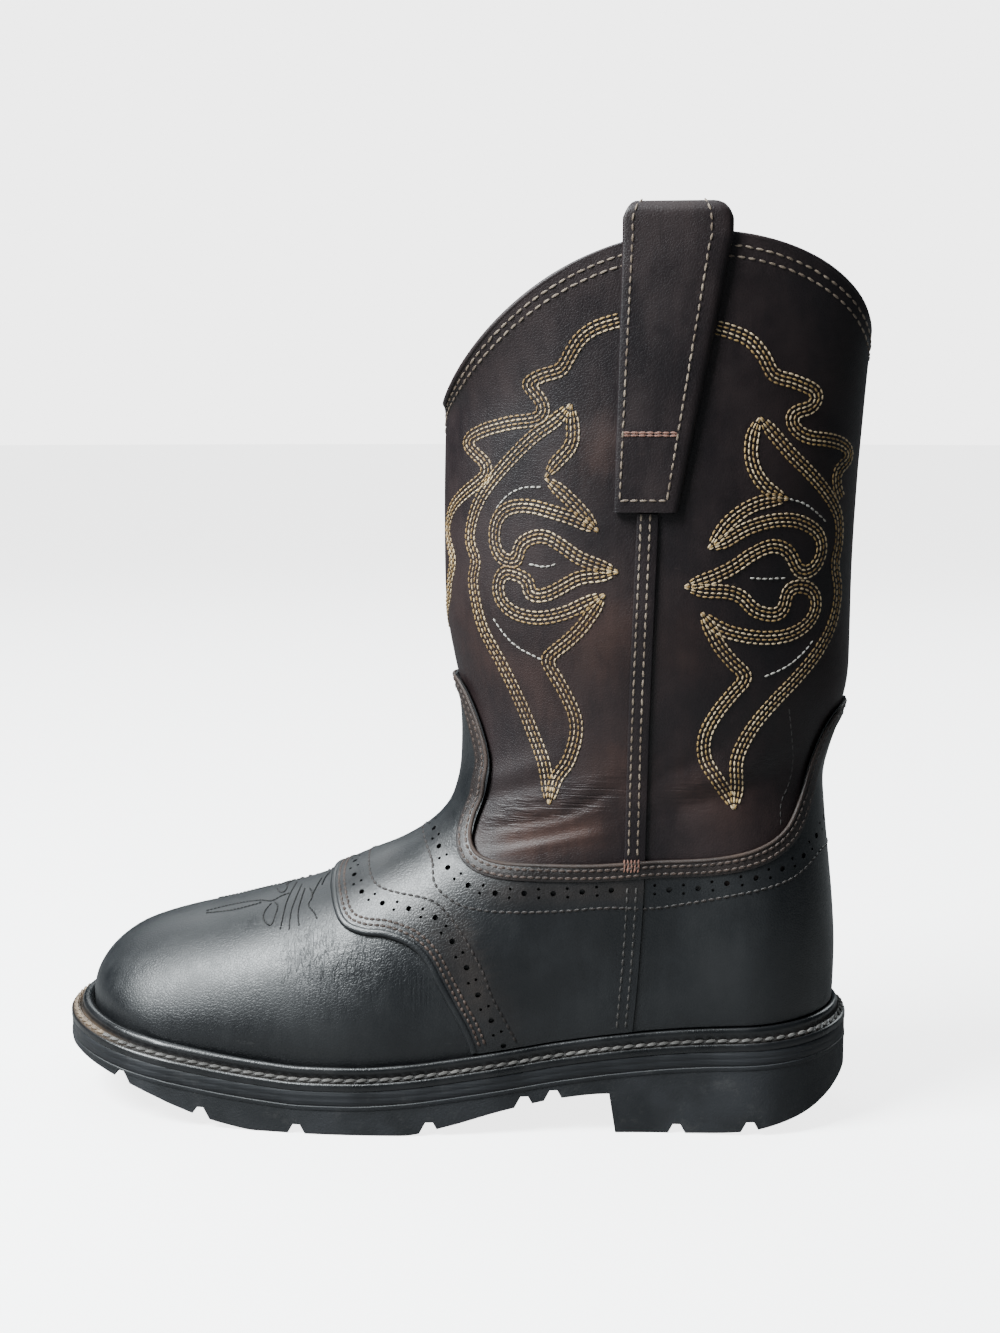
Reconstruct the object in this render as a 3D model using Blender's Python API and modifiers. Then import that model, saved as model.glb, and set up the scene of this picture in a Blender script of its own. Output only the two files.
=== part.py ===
"""Western work boot, left foot, pull-on, standing empty on its sole.

The toe points to -X and the outer side faces -Y. Lengths are metres. Tables give shares of the named sizes.
"""

import math

import bmesh
import bpy
import numpy as np
from mathutils import Vector

# Sizes of the whole boot
SOLE_LENGTH = 0.310
BALL_WIDTH = 0.100
COLLAR_HEIGHT = 0.3320
COLLAR_OVERHANG = 0.0046
SCALLOP_HEIGHT = 0.0488
SHAFT_WIDTH = 0.0900
HEEL_HEIGHT = 0.0385

# Walls, layers and clearances
WALL = 0.0022
GAP = 0.0003
SADDLE_THICKNESS = 0.0015
COUNTER_THICKNESS = 0.0009
SEAM_THICKNESS = 0.0009
SEAM_WIDTH = 0.0080
WELT_THICKNESS = 0.0042
WELT_INNER_REACH = 0.0045
BEAD_HEIGHT = 0.0040
BEAD_SHARE = 0.50
MIDSOLE_THICKNESS = 0.0056
LAYER_STEP = 0.0007
INSOLE_THICKNESS = 0.0035
INSOLE_CLEARANCE = 0.0014

# Lugs of the outsole
LUG_DEPTH = 0.0034
LUG_GAP = 0.0034
LUG_REACH = 0.0190
GROOVE_TOP, GROOVE_MOUTH = 0.75, 1.45
LIP_HEIGHT = 0.0016
WELT_REACH_LIMIT = 0.0120
EDGE_CHAMFER = 0.0010
BREAST_LEAN = 0.0034

# Pull straps
STRAP_THICKNESS = 0.0026
STRAP_TOP_WIDTH = 0.0390
STRAP_FOOT_WIDTH = 0.0230
STRAP_RISE = 0.0110
STRAP_LOOP_GAP = 0.0036
STRAP_SETTLE = 0.0040
# Front edge of a pull strap at the collar and at its foot, as shares of SOLE_LENGTH.
STRAP_FRONT = (0.722, 0.714)
STRAP_OUTSIDE_DROP = 0.0965
STRAP_INSIDE_DROP = 0.0480

TOE_X = -(SOLE_LENGTH + COLLAR_OVERHANG) / 2
# Y of the middle of the heel and shaft, as a share of BALL_WIDTH, which centres the boot's box.
HEEL_MIDDLE = -0.034
OUTER, INNER = -1, 1

# Outline of the last at the feather edge. along: share of SOLE_LENGTH from the toe. half: share of BALL_WIDTH
# from the middle to either side. middle: the same share, towards the inner side. welt: reach of the welt in
# shares of BALL_WIDTH beyond the upper.
PLAN_COLUMNS = ("along", "half", "middle", "welt")
PLAN = (
    (0.000, 0.520, 0.085, 0.096),
    (0.100, 0.512, 0.072, 0.094),
    (0.200, 0.505, 0.046, 0.082),
    (0.330, 0.500, 0.006, 0.076),
    (0.450, 0.452, -0.040, 0.070),
    (0.560, 0.388, -0.058, 0.064),
    (0.660, 0.352, -0.040, 0.060),
    (0.780, 0.346, -0.010, 0.058),
    (0.880, 0.352, 0.000, 0.062),
    (1.000, 0.352, 0.000, 0.072),
)

# Heights of the sole by its length, as shares of HEEL_HEIGHT. seat: the welt's upper face. ground: the underside
# in front of the heel.
SOLE_COLUMNS = ("along", "seat", "ground")
SOLE_LINE = (
    (0.000, 0.900, 0.560),
    (0.030, 0.866, 0.540),
    (0.060, 0.832, 0.495),
    (0.090, 0.792, 0.440),
    (0.120, 0.754, 0.370),
    (0.152, 0.716, 0.285),
    (0.183, 0.678, 0.195),
    (0.210, 0.645, 0.120),
    (0.243, 0.608, 0.050),
    (0.285, 0.572, 0.000),
    (0.340, 0.542, 0.000),
    (0.400, 0.545, 0.000),
    (0.463, 0.576, 0.000),
    (0.520, 0.630, 0.092),
    (0.584, 0.700, 0.235),
    (0.655, 0.785, 0.350),
    (0.710, 0.843, 0.392),
    (0.822, 0.928, 0.392),
    (0.900, 0.966, 0.392),
    (0.950, 1.005, 0.392),
    (1.000, 1.060, 0.392),
)
HEEL_BREAST = 0.7130
# Rise of the heel's tread towards its back. along: share of SOLE_LENGTH. rise: share of HEEL_HEIGHT.
HEEL_STRIKE = (
    (0.800, 0.000),
    (0.850, 0.015),
    (0.885, 0.045),
    (0.910, 0.090),
    (0.950, 0.195),
    (0.980, 0.335),
    (1.000, 0.480),
)

# Section of the welt's bead, from its outer foot over its top to the upper. out: share of the bead's width.
# up: share of BEAD_HEIGHT.
BEAD_PROFILE = ((1.00, 0.00), (1.00, 0.50), (0.75, 0.90), (0.42, 1.00), (0.10, 0.86), (0.00, 0.50), (0.00, 0.00))

# Side outline of the upper. along: share of SOLE_LENGTH. up: share of the way from HEEL_HEIGHT to COLLAR_HEIGHT,
# except that the first row stands on the welt. round: the distance, as a share of SOLE_LENGTH, over which the
# skin turns from this edge to the flat of the side.
EDGE_COLUMNS = ("along", "up", "round")
FRONT_EDGE = (
    (0.0330, -0.0131, 0.170),
    (0.0335, 0.0091, 0.170),
    (0.0400, 0.0328, 0.168),
    (0.0560, 0.0566, 0.166),
    (0.0830, 0.0787, 0.163),
    (0.1150, 0.0939, 0.160),
    (0.1600, 0.1092, 0.160),
    (0.2150, 0.1245, 0.164),
    (0.2940, 0.1494, 0.178),
    (0.3470, 0.1697, 0.192),
    (0.4010, 0.1952, 0.210),
    (0.4440, 0.2144, 0.224),
    (0.4815, 0.2393, 0.234),
    (0.5080, 0.2693, 0.238),
    (0.5210, 0.3055, 0.238),
    (0.5245, 0.3530, 0.238),
    (0.5220, 0.4073, 0.240),
    (0.5090, 0.4683, 0.243),
    (0.4990, 0.5362, 0.246),
    (0.4970, 0.6493, 0.248),
    (0.4985, 0.7398, 0.252),
    (0.5000, 0.7851, 0.256),
)
BACK_EDGE = (
    (0.9800, 0.0000, 0.112),
    (0.9825, 0.0385, 0.112),
    (0.9830, 0.0951, 0.114),
    (0.9795, 0.1516, 0.120),
    (0.9740, 0.2082, 0.134),
    (0.9675, 0.2760, 0.164),
    (0.9650, 0.3190, 0.190),
    (0.9720, 0.3552, 0.208),
    (0.9860, 0.4005, 0.226),
    (0.9960, 0.4457, 0.238),
    (0.9985, 0.5079, 0.244),
    (1.0000, 0.6041, 0.247),
    (1.0030, 0.6946, 0.250),
    (1.0075, 0.7851, 0.254),
    (1.0150, 0.8778, 0.256),
)

# Half width of the shaft. up: as above. half: share of SHAFT_WIDTH.
SHAFT_SIDE = (
    (0.04, 0.400),
    (0.16, 0.400),
    (0.28, 0.404),
    (0.39, 0.430),
    (0.55, 0.472),
    (0.72, 0.490),
    (1.00, 0.500),
)
FOOT_TOP, SHAFT_START = 0.17, 0.43
# Powers that round the scallop of the collar in front and behind.
SCALLOP_POWERS = (1.55, 1.15)
FEATHER_TUCK, TUCK_HEIGHT = 0.045, 0.018

# Rings of the upper, from the feather edge to the collar. front, back: shares of the front and back outline at
# the end of the zone. rings: how many rings the zone holds.
RING_COLUMNS = ("zone", "front", "back", "rings")
RING_ZONES = (
    ("toe wall", 0.090, 0.075, 4),
    ("vamp", 0.420, 0.250, 7),
    ("throat", 0.640, 0.430, 5),
    ("shaft", 1.000, 1.000, 6),
)
STEPS_A_SIDE = 21
EDGE_SAMPLES = 160
SEAT_FOLLOW_END, SCALLOP_START = 0.30, 0.60

# Top line of the foot, from the front peak to the back peak, with along and up as above.
TOP_LINE = (
    (0.495, 0.448),
    (0.522, 0.440),
    (0.546, 0.395),
    (0.561, 0.342),
    (0.556, 0.299),
    (0.545, 0.265),
    (0.541, 0.240),
    (0.550, 0.222),
    (0.575, 0.214),
    (0.617, 0.213),
    (0.690, 0.215),
    (0.753, 0.220),
    (0.830, 0.225),
    (0.885, 0.236),
    (0.920, 0.259),
    (0.938, 0.299),
    (0.950, 0.344),
    (0.968, 0.389),
    (0.990, 0.416),
    (1.020, 0.430),
)
# Front edge of the saddle, from the instep down to the welt.
SADDLE_EDGE = (
    (0.345, 0.242),
    (0.359, 0.181),
    (0.370, 0.154),
    (0.386, 0.130),
    (0.412, 0.122),
    (0.440, 0.121),
    (0.470, 0.112),
    (0.491, 0.095),
    (0.506, 0.069),
    (0.523, 0.036),
    (0.540, 0.002),
    (0.552, -0.034),
    (0.562, -0.066),
)
# Side seam, from the collar to the welt.
SEAM_LINE = (
    (0.774, 1.023),
    (0.768, 0.729),
    (0.766, 0.638),
    (0.758, 0.401),
    (0.754, 0.220),
    (0.749, 0.105),
    (0.741, 0.002),
    (0.733, -0.063),
)
# Notches between the lugs of both edges, as shares of SOLE_LENGTH.
EDGE_GROOVES = (0.108, 0.213, 0.335, 0.497, 0.611, 0.646, 0.795, 0.884)
# Bars across the middle of the tread, and the grooves along it between the edge lugs and the middle.
TREAD_GROOVES = (0.160, 0.274, 0.400, 0.840)
TREAD_SHARE = 1.05
LONG_GROOVES = {"front": (0.105, 0.490), "heel": (0.745, 0.925)}


def column(rows, names, wanted):
    """One named column of a table."""
    place = names.index(wanted)
    return np.array([row[place] for row in rows], float)


def smooth(known, values, wanted):
    """Cubic interpolation through known points that doesn't overshoot them."""
    known, values = np.asarray(known, float), np.asarray(values, float)
    step = np.diff(known)
    slope = np.diff(values) / step
    tangent = np.zeros_like(values)
    tangent[0], tangent[-1] = slope[0], slope[-1]
    for i in range(1, len(known) - 1):
        if slope[i - 1] * slope[i] > 0:
            tangent[i] = 2 * slope[i - 1] * slope[i] / (slope[i - 1] + slope[i])
    wanted = np.clip(np.asarray(wanted, float), known[0], known[-1])
    i = np.clip(np.searchsorted(known, wanted, side="right") - 1, 0, len(step) - 1)
    t = (wanted - known[i]) / step[i]
    return (
        values[i] * (1 + 2 * t) * (1 - t) ** 2
        + tangent[i] * step[i] * t * (1 - t) ** 2
        + values[i + 1] * t**2 * (3 - 2 * t)
        + tangent[i + 1] * step[i] * t**2 * (t - 1)
    )


def curve_through(points, count):
    """Catmull-Rom curve through points, sampled evenly by length."""
    points = np.asarray(points, float)
    padded = np.vstack([2 * points[0] - points[1], points, 2 * points[-1] - points[-2]])
    dense = []
    for a, b, c, d in zip(padded, padded[1:], padded[2:], padded[3:]):
        for t in np.linspace(0, 1, 12, endpoint=False):
            dense.append(
                0.5
                * (2 * b + (c - a) * t + (2 * a - 5 * b + 4 * c - d) * t**2 + (3 * b - a - 3 * c + d) * t**3)
            )
    dense = np.array(dense + [points[-1]])
    run = np.concatenate([[0], np.cumsum(np.linalg.norm(np.diff(dense[:, :2], axis=0), axis=1))])
    wanted = np.linspace(0, run[-1], count)
    return np.stack([np.interp(wanted, run, dense[:, i]) for i in range(dense.shape[1])], axis=1)


def ease(low, high, value):
    """0 below low, 1 above high, smooth between."""
    t = np.clip((np.asarray(value, float) - low) / (high - low), 0, 1)
    return t * t * (3 - 2 * t)


def x_at(along):
    """X of a share of the sole's length, from the toe."""
    return TOE_X + np.asarray(along) * SOLE_LENGTH


def along_at(x):
    """Share of the sole's length at X."""
    return (np.asarray(x) - TOE_X) / SOLE_LENGTH


def z_at(up):
    """Z of a share of the way from HEEL_HEIGHT to COLLAR_HEIGHT."""
    return HEEL_HEIGHT + np.asarray(up) * (COLLAR_HEIGHT - HEEL_HEIGHT)


def up_at(z):
    """Share of the way from HEEL_HEIGHT to COLLAR_HEIGHT at Z."""
    return (z - HEEL_HEIGHT) / (COLLAR_HEIGHT - HEEL_HEIGHT)


def plan(name, along):
    """One column of PLAN at a place along the foot, in metres."""
    return BALL_WIDTH * smooth(column(PLAN, PLAN_COLUMNS, "along"), column(PLAN, PLAN_COLUMNS, name), along)


def middle_of_sole(along):
    """Y of the middle of the sole at a place along the foot."""
    return HEEL_MIDDLE * BALL_WIDTH + plan("middle", along)


def sole_height(name, along):
    """One column of SOLE_LINE at a place along the foot, in metres."""
    return HEEL_HEIGHT * smooth(
        column(SOLE_LINE, SOLE_COLUMNS, "along"), column(SOLE_LINE, SOLE_COLUMNS, name), along
    )


def seat(x):
    """Height of the welt's upper face, which the upper stands on."""
    return sole_height("seat", along_at(x))


def tread(x):
    """Height of the underside: toe spring, ball, arch, then the heel with its rounded back."""
    along = along_at(x)
    strike = HEEL_HEIGHT * smooth([row[0] for row in HEEL_STRIKE], [row[1] for row in HEEL_STRIKE], along)
    breast = np.clip((along - HEEL_BREAST) * SOLE_LENGTH / BREAST_LEAN, 0, 1)
    return (1 - breast) * sole_height("ground", along) + breast * strike


def edge_in_metres(rows):
    """A side outline as dense points of X, Z and rounding distance."""
    along, up, rounding = (column(rows, EDGE_COLUMNS, name) for name in EDGE_COLUMNS)
    points = np.stack([x_at(along), z_at(up), rounding * SOLE_LENGTH], axis=1)
    points[0, 1] = seat(points[0, 0])
    return curve_through(points, EDGE_SAMPLES)


FRONT, BACK = edge_in_metres(FRONT_EDGE), edge_in_metres(BACK_EDGE)


def turn(x, z, edge):
    """How far the skin has turned at X, Z from an outline: 0 on it, 1 on the flat of the side."""
    starts, ends = edge[:-1], edge[1:]
    way = (ends - starts)[:, :2]
    off = np.array([x, z]) - starts[:, :2]
    share = np.clip((off * way).sum(axis=1) / (way * way).sum(axis=1), 0, 1)
    gap = np.linalg.norm(off - way * share[:, None], axis=1)
    near = int(gap.argmin())
    radius = starts[near, 2] + (ends[near, 2] - starts[near, 2]) * share[near]
    depth = min(gap[near] / radius, 1.0)
    return math.sqrt(max(0.0, 1 - (1 - depth) ** 2.1)) ** (2 / 2.1)


def middle_line(x, z):
    """Y of the middle of the boot: the foot's curve, which fades out up the shaft."""
    foot_share = 1 - ease(FOOT_TOP, SHAFT_START, up_at(z))
    return HEEL_MIDDLE * BALL_WIDTH + float(plan("middle", along_at(x)) * foot_share)


def half_width(x, z):
    """Half the width of the boot at a place in the side view."""
    up = up_at(z)
    shaft_share = ease(FOOT_TOP, SHAFT_START, up)
    foot = float(plan("half", along_at(x)))
    tuck = 1 - FEATHER_TUCK * max(0.0, 1 - (z - float(seat(x))) / TUCK_HEIGHT) ** 2
    shaft = SHAFT_WIDTH * float(smooth([row[0] for row in SHAFT_SIDE], [row[1] for row in SHAFT_SIDE], up))
    flat = foot * tuck * (1 - shaft_share) + shaft * shaft_share
    return flat * turn(x, z, FRONT) * turn(x, z, BACK)


def skin(x, z, side):
    """Point of the upper's outer face at X, Z in the side view."""
    return np.array([x, middle_line(x, z) + side * half_width(x, z), z])


def skin_normal(x, z, side):
    """Outward direction of the upper's outer face, away from its front and back edges."""
    step = 0.002
    over_x = skin(x + step, z, side) - skin(x - step, z, side)
    over_z = skin(x, z + step, side) - skin(x, z - step, side)
    normal = np.cross(over_x, over_z) * -side
    return normal / np.linalg.norm(normal)


def ring_shares():
    """Share of the front and of the back outline at each ring."""
    front, back = [0.0], [0.0]
    for row in RING_ZONES:
        zone = dict(zip(RING_COLUMNS, row))
        front.extend(np.linspace(front[-1], zone["front"], zone["rings"] + 1)[1:])
        back.extend(np.linspace(back[-1], zone["back"], zone["rings"] + 1)[1:])
    return front, back


def along_edge(edge, share):
    """Point of an outline at a share of its length."""
    place = share * (len(edge) - 1)
    return np.array([np.interp(place, range(len(edge)), edge[:, i]) for i in (0, 1)])


def ring(front_share, back_share):
    """One closed ring of the upper, from the front round the outer side to the back and round the inner side."""
    front, back = along_edge(FRONT, front_share), along_edge(BACK, back_share)
    follow = max(0.0, 1 - front_share / SEAT_FOLLOW_END) ** 2
    lift = SCALLOP_HEIGHT * float(ease(SCALLOP_START, 1, front_share))
    sides = {OUTER: [], INNER: []}
    for step in range(STEPS_A_SIDE + 1):
        angle = math.pi * step / STEPS_A_SIDE
        share = (1 - math.cos(angle)) / 2
        x, z = front + (back - front) * share
        straight = seat(front[0]) + (seat(back[0]) - seat(front[0])) * share
        power = SCALLOP_POWERS[0] + (SCALLOP_POWERS[1] - SCALLOP_POWERS[0]) * share
        z += follow * float(seat(x) - straight) + lift * max(0.0, math.sin(angle)) ** power
        for side in sides:
            on_edge = step in (0, STEPS_A_SIDE)
            y = middle_line(x, z) if on_edge else skin(x, z, side)[1]
            sides[side].append((x, y, z))
    return np.array(sides[OUTER] + sides[INNER][-2:0:-1])


def upper_grid():
    """Rings of the upper's outer face, and the outward direction at each point."""
    points = np.array([ring(f, b) for f, b in zip(*ring_shares())])
    points[:, :, 2] += GAP
    round_way = np.roll(points, -1, axis=1) - np.roll(points, 1, axis=1)
    normals = np.cross(round_way, np.gradient(points, axis=0))
    normals /= np.linalg.norm(normals, axis=2)[:, :, None]
    return points, normals


def new_object(name, mesh, material):
    """A mesh object in the boot's collection with one material."""
    made = bpy.data.objects.new(name, mesh)
    BOOT.objects.link(made)
    mesh.materials.append(material)
    mesh.shade_smooth()
    mesh.set_sharp_from_angle(angle=math.radians(38))
    return made


def mesh_of(name, points, faces):
    """A mesh from points and faces, with the faces turned to point outwards."""
    mesh = bpy.data.meshes.new(name)
    mesh.from_pydata([tuple(map(float, p)) for p in points], [], faces)
    shape = bmesh.new()
    shape.from_mesh(mesh)
    bmesh.ops.remove_doubles(shape, verts=shape.verts, dist=1e-6)
    bmesh.ops.recalc_face_normals(shape, faces=shape.faces)
    shape.to_mesh(mesh)
    shape.free()
    return mesh


def grid_faces(rows, columns, closed):
    """Pairs of triangles between neighbouring rows of points, each row closed on itself or open."""
    faces = []
    for row in range(rows - 1):
        for step in range(columns if closed else columns - 1):
            after = (step + 1) % columns
            base, above = row * columns, (row + 1) * columns
            faces.append((base + step, base + after, above + after))
            faces.append((base + step, above + after, above + step))
    return faces


def shell_object(name, offset, thickness, outwards, material):
    """The upper's own face moved out by offset and given a wall."""
    points, normals = upper_grid()
    moved = points + normals * offset
    mesh = bpy.data.meshes.new(name)
    rows, columns = moved.shape[:2]
    mesh.from_pydata([tuple(p) for p in moved.reshape(-1, 3)], [], grid_faces(rows, columns, True))
    made = new_object(name, mesh, material)
    wall = made.modifiers.new("wall", "SOLIDIFY")
    wall.thickness = thickness
    wall.offset = 1 if outwards else -1
    wall.use_even_offset = True
    return made


def outline_cutter(name, outline, y_low, y_high):
    """A flat outline in the side view, given as X and Z, made into a block between two Y values."""
    curve = bpy.data.curves.new(name, "CURVE")
    curve.dimensions = "2D"
    curve.fill_mode = "BOTH"
    curve.extrude = (y_high - y_low) / 2
    line = curve.splines.new("POLY")
    line.points.add(len(outline) - 1)
    for point, (x, z) in zip(line.points, outline):
        point.co = (x, z, 0, 1)
    line.use_cyclic_u = True
    flat = bpy.data.objects.new(name + "_line", curve)
    flat.rotation_euler = (math.pi / 2, 0, 0)
    flat.location = (0, (y_low + y_high) / 2, 0)
    CUTTERS.objects.link(flat)
    return as_mesh_cutter(name, flat)


def as_mesh_cutter(name, source):
    """Turns a curve object into a hidden closed mesh at the same place."""
    bpy.context.view_layer.update()
    graph = bpy.context.evaluated_depsgraph_get()
    mesh = bpy.data.meshes.new_from_object(source.evaluated_get(graph))
    shape = bmesh.new()
    shape.from_mesh(mesh)
    bmesh.ops.remove_doubles(shape, verts=shape.verts, dist=1e-6)
    bmesh.ops.recalc_face_normals(shape, faces=shape.faces)
    shape.to_mesh(mesh)
    shape.free()
    cutter = bpy.data.objects.new(name, mesh)
    cutter.matrix_world = source.matrix_world
    CUTTERS.objects.link(cutter)
    bpy.data.objects.remove(source)
    hide(cutter)
    return cutter


def hide(helper):
    """Marks a helper so that it is drawn as wire and never rendered."""
    helper.hide_render = True
    helper.display_type = "WIRE"


def cut(target, cutter, operation):
    """Adds a Boolean to target."""
    modifier = target.modifiers.new(cutter.name, "BOOLEAN")
    modifier.operation = operation
    modifier.object = cutter
    modifier.solver = "EXACT"


def in_side_view(rows):
    """A line of shares as X and Z in metres, smoothed."""
    table = np.array(rows, float)
    return curve_through(
        np.stack([x_at(table[:, 0]), z_at(table[:, 1])], axis=1), 2 * len(rows) - 1
    )


def above_bead(x):
    """Height just clear of the welt's bead."""
    return float(seat(x)) + BEAD_HEIGHT + 2 * GAP


def bead_line(x_from, x_to):
    """Points just above the bead between two places along the foot."""
    return [(x, above_bead(x)) for x in np.linspace(x_from, x_to, 9)]


def seam_x(z):
    """X of the side seam's rear edge at a height."""
    line = in_side_view(SEAM_LINE)[::-1]
    return float(np.interp(z, line[:, 1], line[:, 0]))


def make_upper(leather):
    """Vamp and shaft in one hollow wall, open at the collar and over the sole."""
    return shell_object("upper", 0.0, WALL, False, leather)


def make_saddle(leather):
    """Overlay across the instep and both sides, up to the front peak and back to the side seam."""
    front, top = in_side_view(SADDLE_EDGE), in_side_view(TOP_LINE)
    seam_low = seam_x(above_bead(x_at(SEAM_LINE[-1][0])))
    crossing = [p for p in top if p[0] < seam_x(p[1]) - GAP]
    join = [(seam_x(z) - GAP / 2, z) for z in np.linspace(crossing[-1][1], above_bead(seam_low), 7)]
    foot_x = float(np.interp(above_bead(x_at(SADDLE_EDGE[-1][0])), front[::-1, 1], front[::-1, 0]))
    edge = [tuple(p) for p in front if p[1] > above_bead(foot_x)]
    outline = crossing + join + bead_line(join[-1][0], foot_x)[1:] + edge[::-1]
    outline.append((x_at(TOP_LINE[0][0]) - SADDLE_THICKNESS, z_at(TOP_LINE[0][1])))
    saddle = shell_object("saddle", GAP, SADDLE_THICKNESS, True, leather)
    cut(saddle, outline_cutter("saddle_outline", outline, -BALL_WIDTH, BALL_WIDTH), "INTERSECT")
    return saddle


def make_counter(leather):
    """Overlay round the heel, from side seam to side seam, up to the back peak."""
    top = in_side_view(TOP_LINE)
    rest = [tuple(p) for p in top if p[0] > seam_x(p[1]) + GAP]
    start = above_bead(x_at(SEAM_LINE[-1][0]))
    join = [(seam_x(z) + GAP / 2, z) for z in np.linspace(start, rest[0][1], 7)]
    behind = x_at(TOP_LINE[-1][0])
    low = bead_line(behind, join[0][0])
    counter = shell_object("counter", GAP, COUNTER_THICKNESS, True, leather)
    outline = join + rest + low[:-1]
    cut(counter, outline_cutter("counter_outline", outline, -BALL_WIDTH, BALL_WIDTH), "INTERSECT")
    return counter


def make_side_seam(name, side, leather):
    """Lapped margin of the front panel down the side of the shaft, from the collar to the top line."""
    top = in_side_view(TOP_LINE)
    low = max(p[1] for p in top if abs(p[0] - seam_x(p[1])) < 2 * SEAM_WIDTH) + GAP
    high = strap_foot(side) - GAP
    levels = np.linspace(low, high, 9)
    rear = [(seam_x(z), z) for z in levels]
    front = [(seam_x(z) - SEAM_WIDTH, z) for z in levels[::-1]]
    middle = HEEL_MIDDLE * BALL_WIDTH
    y_low, y_high = sorted((middle, middle + side * BALL_WIDTH))
    seam = shell_object(name, GAP, SEAM_THICKNESS, True, leather)
    cut(seam, outline_cutter(name + "_outline", rear + front, y_low, y_high), "INTERSECT")
    return seam


def collar_height_at(x, side):
    """Height of the collar at X on one side."""
    front, back = ring_shares()
    rim = ring(front[-1], back[-1])[: STEPS_A_SIDE + 1]
    return float(np.interp(x, rim[:, 0], rim[:, 2]))


def strap_seat(side):
    """Height of the collar under the middle of a pull strap."""
    return collar_height_at(float(x_at(STRAP_FRONT[0])) + STRAP_TOP_WIDTH / 2, side) + GAP


def strap_foot(side):
    """Height of the lower end of a pull strap on the outside of the shaft."""
    return strap_seat(side) - STRAP_OUTSIDE_DROP


def strap_stations(side):
    """Rows of points across a pull strap, from its outer foot over the collar to its inner foot."""
    rim_z = strap_seat(side)
    held_top = rim_z - STRAP_SETTLE
    rows = []
    for z in np.linspace(strap_foot(side), held_top, 8):
        down = (rim_z - z) / STRAP_OUTSIDE_DROP
        rows.append((z, GAP, down))
    inside = -(WALL + GAP)
    centre, reach = (GAP + inside) / 2, STRAP_LOOP_GAP / 2
    for angle in np.linspace(0, math.pi, 7):
        rise = STRAP_RISE - reach - STRAP_THICKNESS
        rows.append((rim_z + rise + reach * math.sin(angle), centre + reach * math.cos(angle), 0.0))
    for z in np.linspace(held_top, rim_z - STRAP_INSIDE_DROP, 4):
        rows.append((z, inside, (rim_z - z) / STRAP_OUTSIDE_DROP))
    grid = []
    for z, out, down in rows:
        width = STRAP_TOP_WIDTH + (STRAP_FOOT_WIDTH - STRAP_TOP_WIDTH) * down
        front = float(x_at(STRAP_FRONT[0] + (STRAP_FRONT[1] - STRAP_FRONT[0]) * down))
        held = min(z, held_top)
        row = []
        for across in np.linspace(0, 1, 5):
            x = front + across * width
            point = skin(x, held, side) + skin_normal(x, held, side) * out
            row.append((point[0], point[1], point[2] + z - held + GAP))
        grid.append(row)
    return np.array(grid)


def make_pull_strap(name, side, leather):
    """Strap folded over the collar and sewn to both faces of the shaft."""
    grid = strap_stations(side)
    rows, columns = grid.shape[:2]
    mesh = bpy.data.meshes.new(name)
    faces = grid_faces(rows, columns, False)
    if side == INNER:
        faces = [face[::-1] for face in faces]
    mesh.from_pydata([tuple(p) for p in grid.reshape(-1, 3)], [], faces)
    strap = new_object(name, mesh, leather)
    wall = strap.modifiers.new("wall", "SOLIDIFY")
    wall.thickness = STRAP_THICKNESS
    wall.offset = 1
    wall.use_even_offset = True
    return strap


def share_at_height(edge, z):
    """Share of an outline's length at which it reaches a height."""
    return float(np.interp(z, edge[:, 1], np.linspace(0, 1, len(edge))))


def foot_outline(reach, up):
    """Closed outline round the upper, up above its feather edge and moved out by reach(along)."""
    front_share = share_at_height(FRONT, FRONT[0, 1] + up)
    back_share = share_at_height(BACK, BACK[0, 1] + up)
    inside = ring(front_share, back_share)
    way = (np.roll(inside, -1, axis=0) - np.roll(inside, 1, axis=0))[:, :2]
    out = np.stack([way[:, 1], -way[:, 0]], axis=1)
    out /= np.linalg.norm(out, axis=1)[:, None]
    return inside[:, :2] + out * reach(along_at(inside[:, 0]))[:, None]


def layer(reach, height, up=0.0):
    """One closed loop of a sole layer: its outline, and its height at each X."""
    flat = foot_outline(reach, up)
    return np.column_stack([flat, height(flat[:, 0])])


def welt_reach(extra=0.0, share=1.0):
    """Function of along that gives the welt's reach beyond the upper, times share, plus extra."""
    return lambda along: plan("welt", along) * share + extra


def fixed_reach(distance):
    """Function of along that gives one distance everywhere."""
    return lambda along: np.full_like(np.asarray(along, float), distance)


def stacked_solid(name, loops, material, ring_shaped=False):
    """A solid from closed loops. A slab's first and last loops are filled across the foot, a ring's are joined."""
    count = len(loops[0])
    points = np.concatenate(loops)
    faces = grid_faces(len(loops), count, True)
    last = (len(loops) - 1) * count
    if ring_shaped:
        faces += [(last + i, last + (i + 1) % count, (i + 1) % count, i) for i in range(count)]
    else:
        for base in (0, last):
            for i in range(count // 2):
                after, opposite = count - i - 1, (count - i) % count
                corners = (base + i, base + i + 1, base + after, base + opposite)
                faces.append(tuple(dict.fromkeys(corners)))
    return new_object(name, mesh_of(name, points, faces), material)


def below_seat(drop):
    """Function of X that gives a height below the welt's upper face."""
    return lambda x: seat(x) - drop


def make_welt(rubber):
    """Storm welt: a stitched ledge with a round bead against the upper."""
    loops = [
        layer(fixed_reach(-WELT_INNER_REACH), below_seat(WELT_THICKNESS)),
        layer(welt_reach(), below_seat(WELT_THICKNESS)),
        layer(welt_reach(), below_seat(EDGE_CHAMFER)),
        layer(welt_reach(-EDGE_CHAMFER), below_seat(0.0)),
    ]
    for out, up in BEAD_PROFILE:
        rise = up * BEAD_HEIGHT
        loops.append(layer(welt_reach(GAP, out * BEAD_SHARE), below_seat(-rise), rise))
    loops.append(layer(fixed_reach(-WELT_INNER_REACH), below_seat(0.0)))
    return stacked_solid("welt", loops, rubber, ring_shaped=True)


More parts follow.
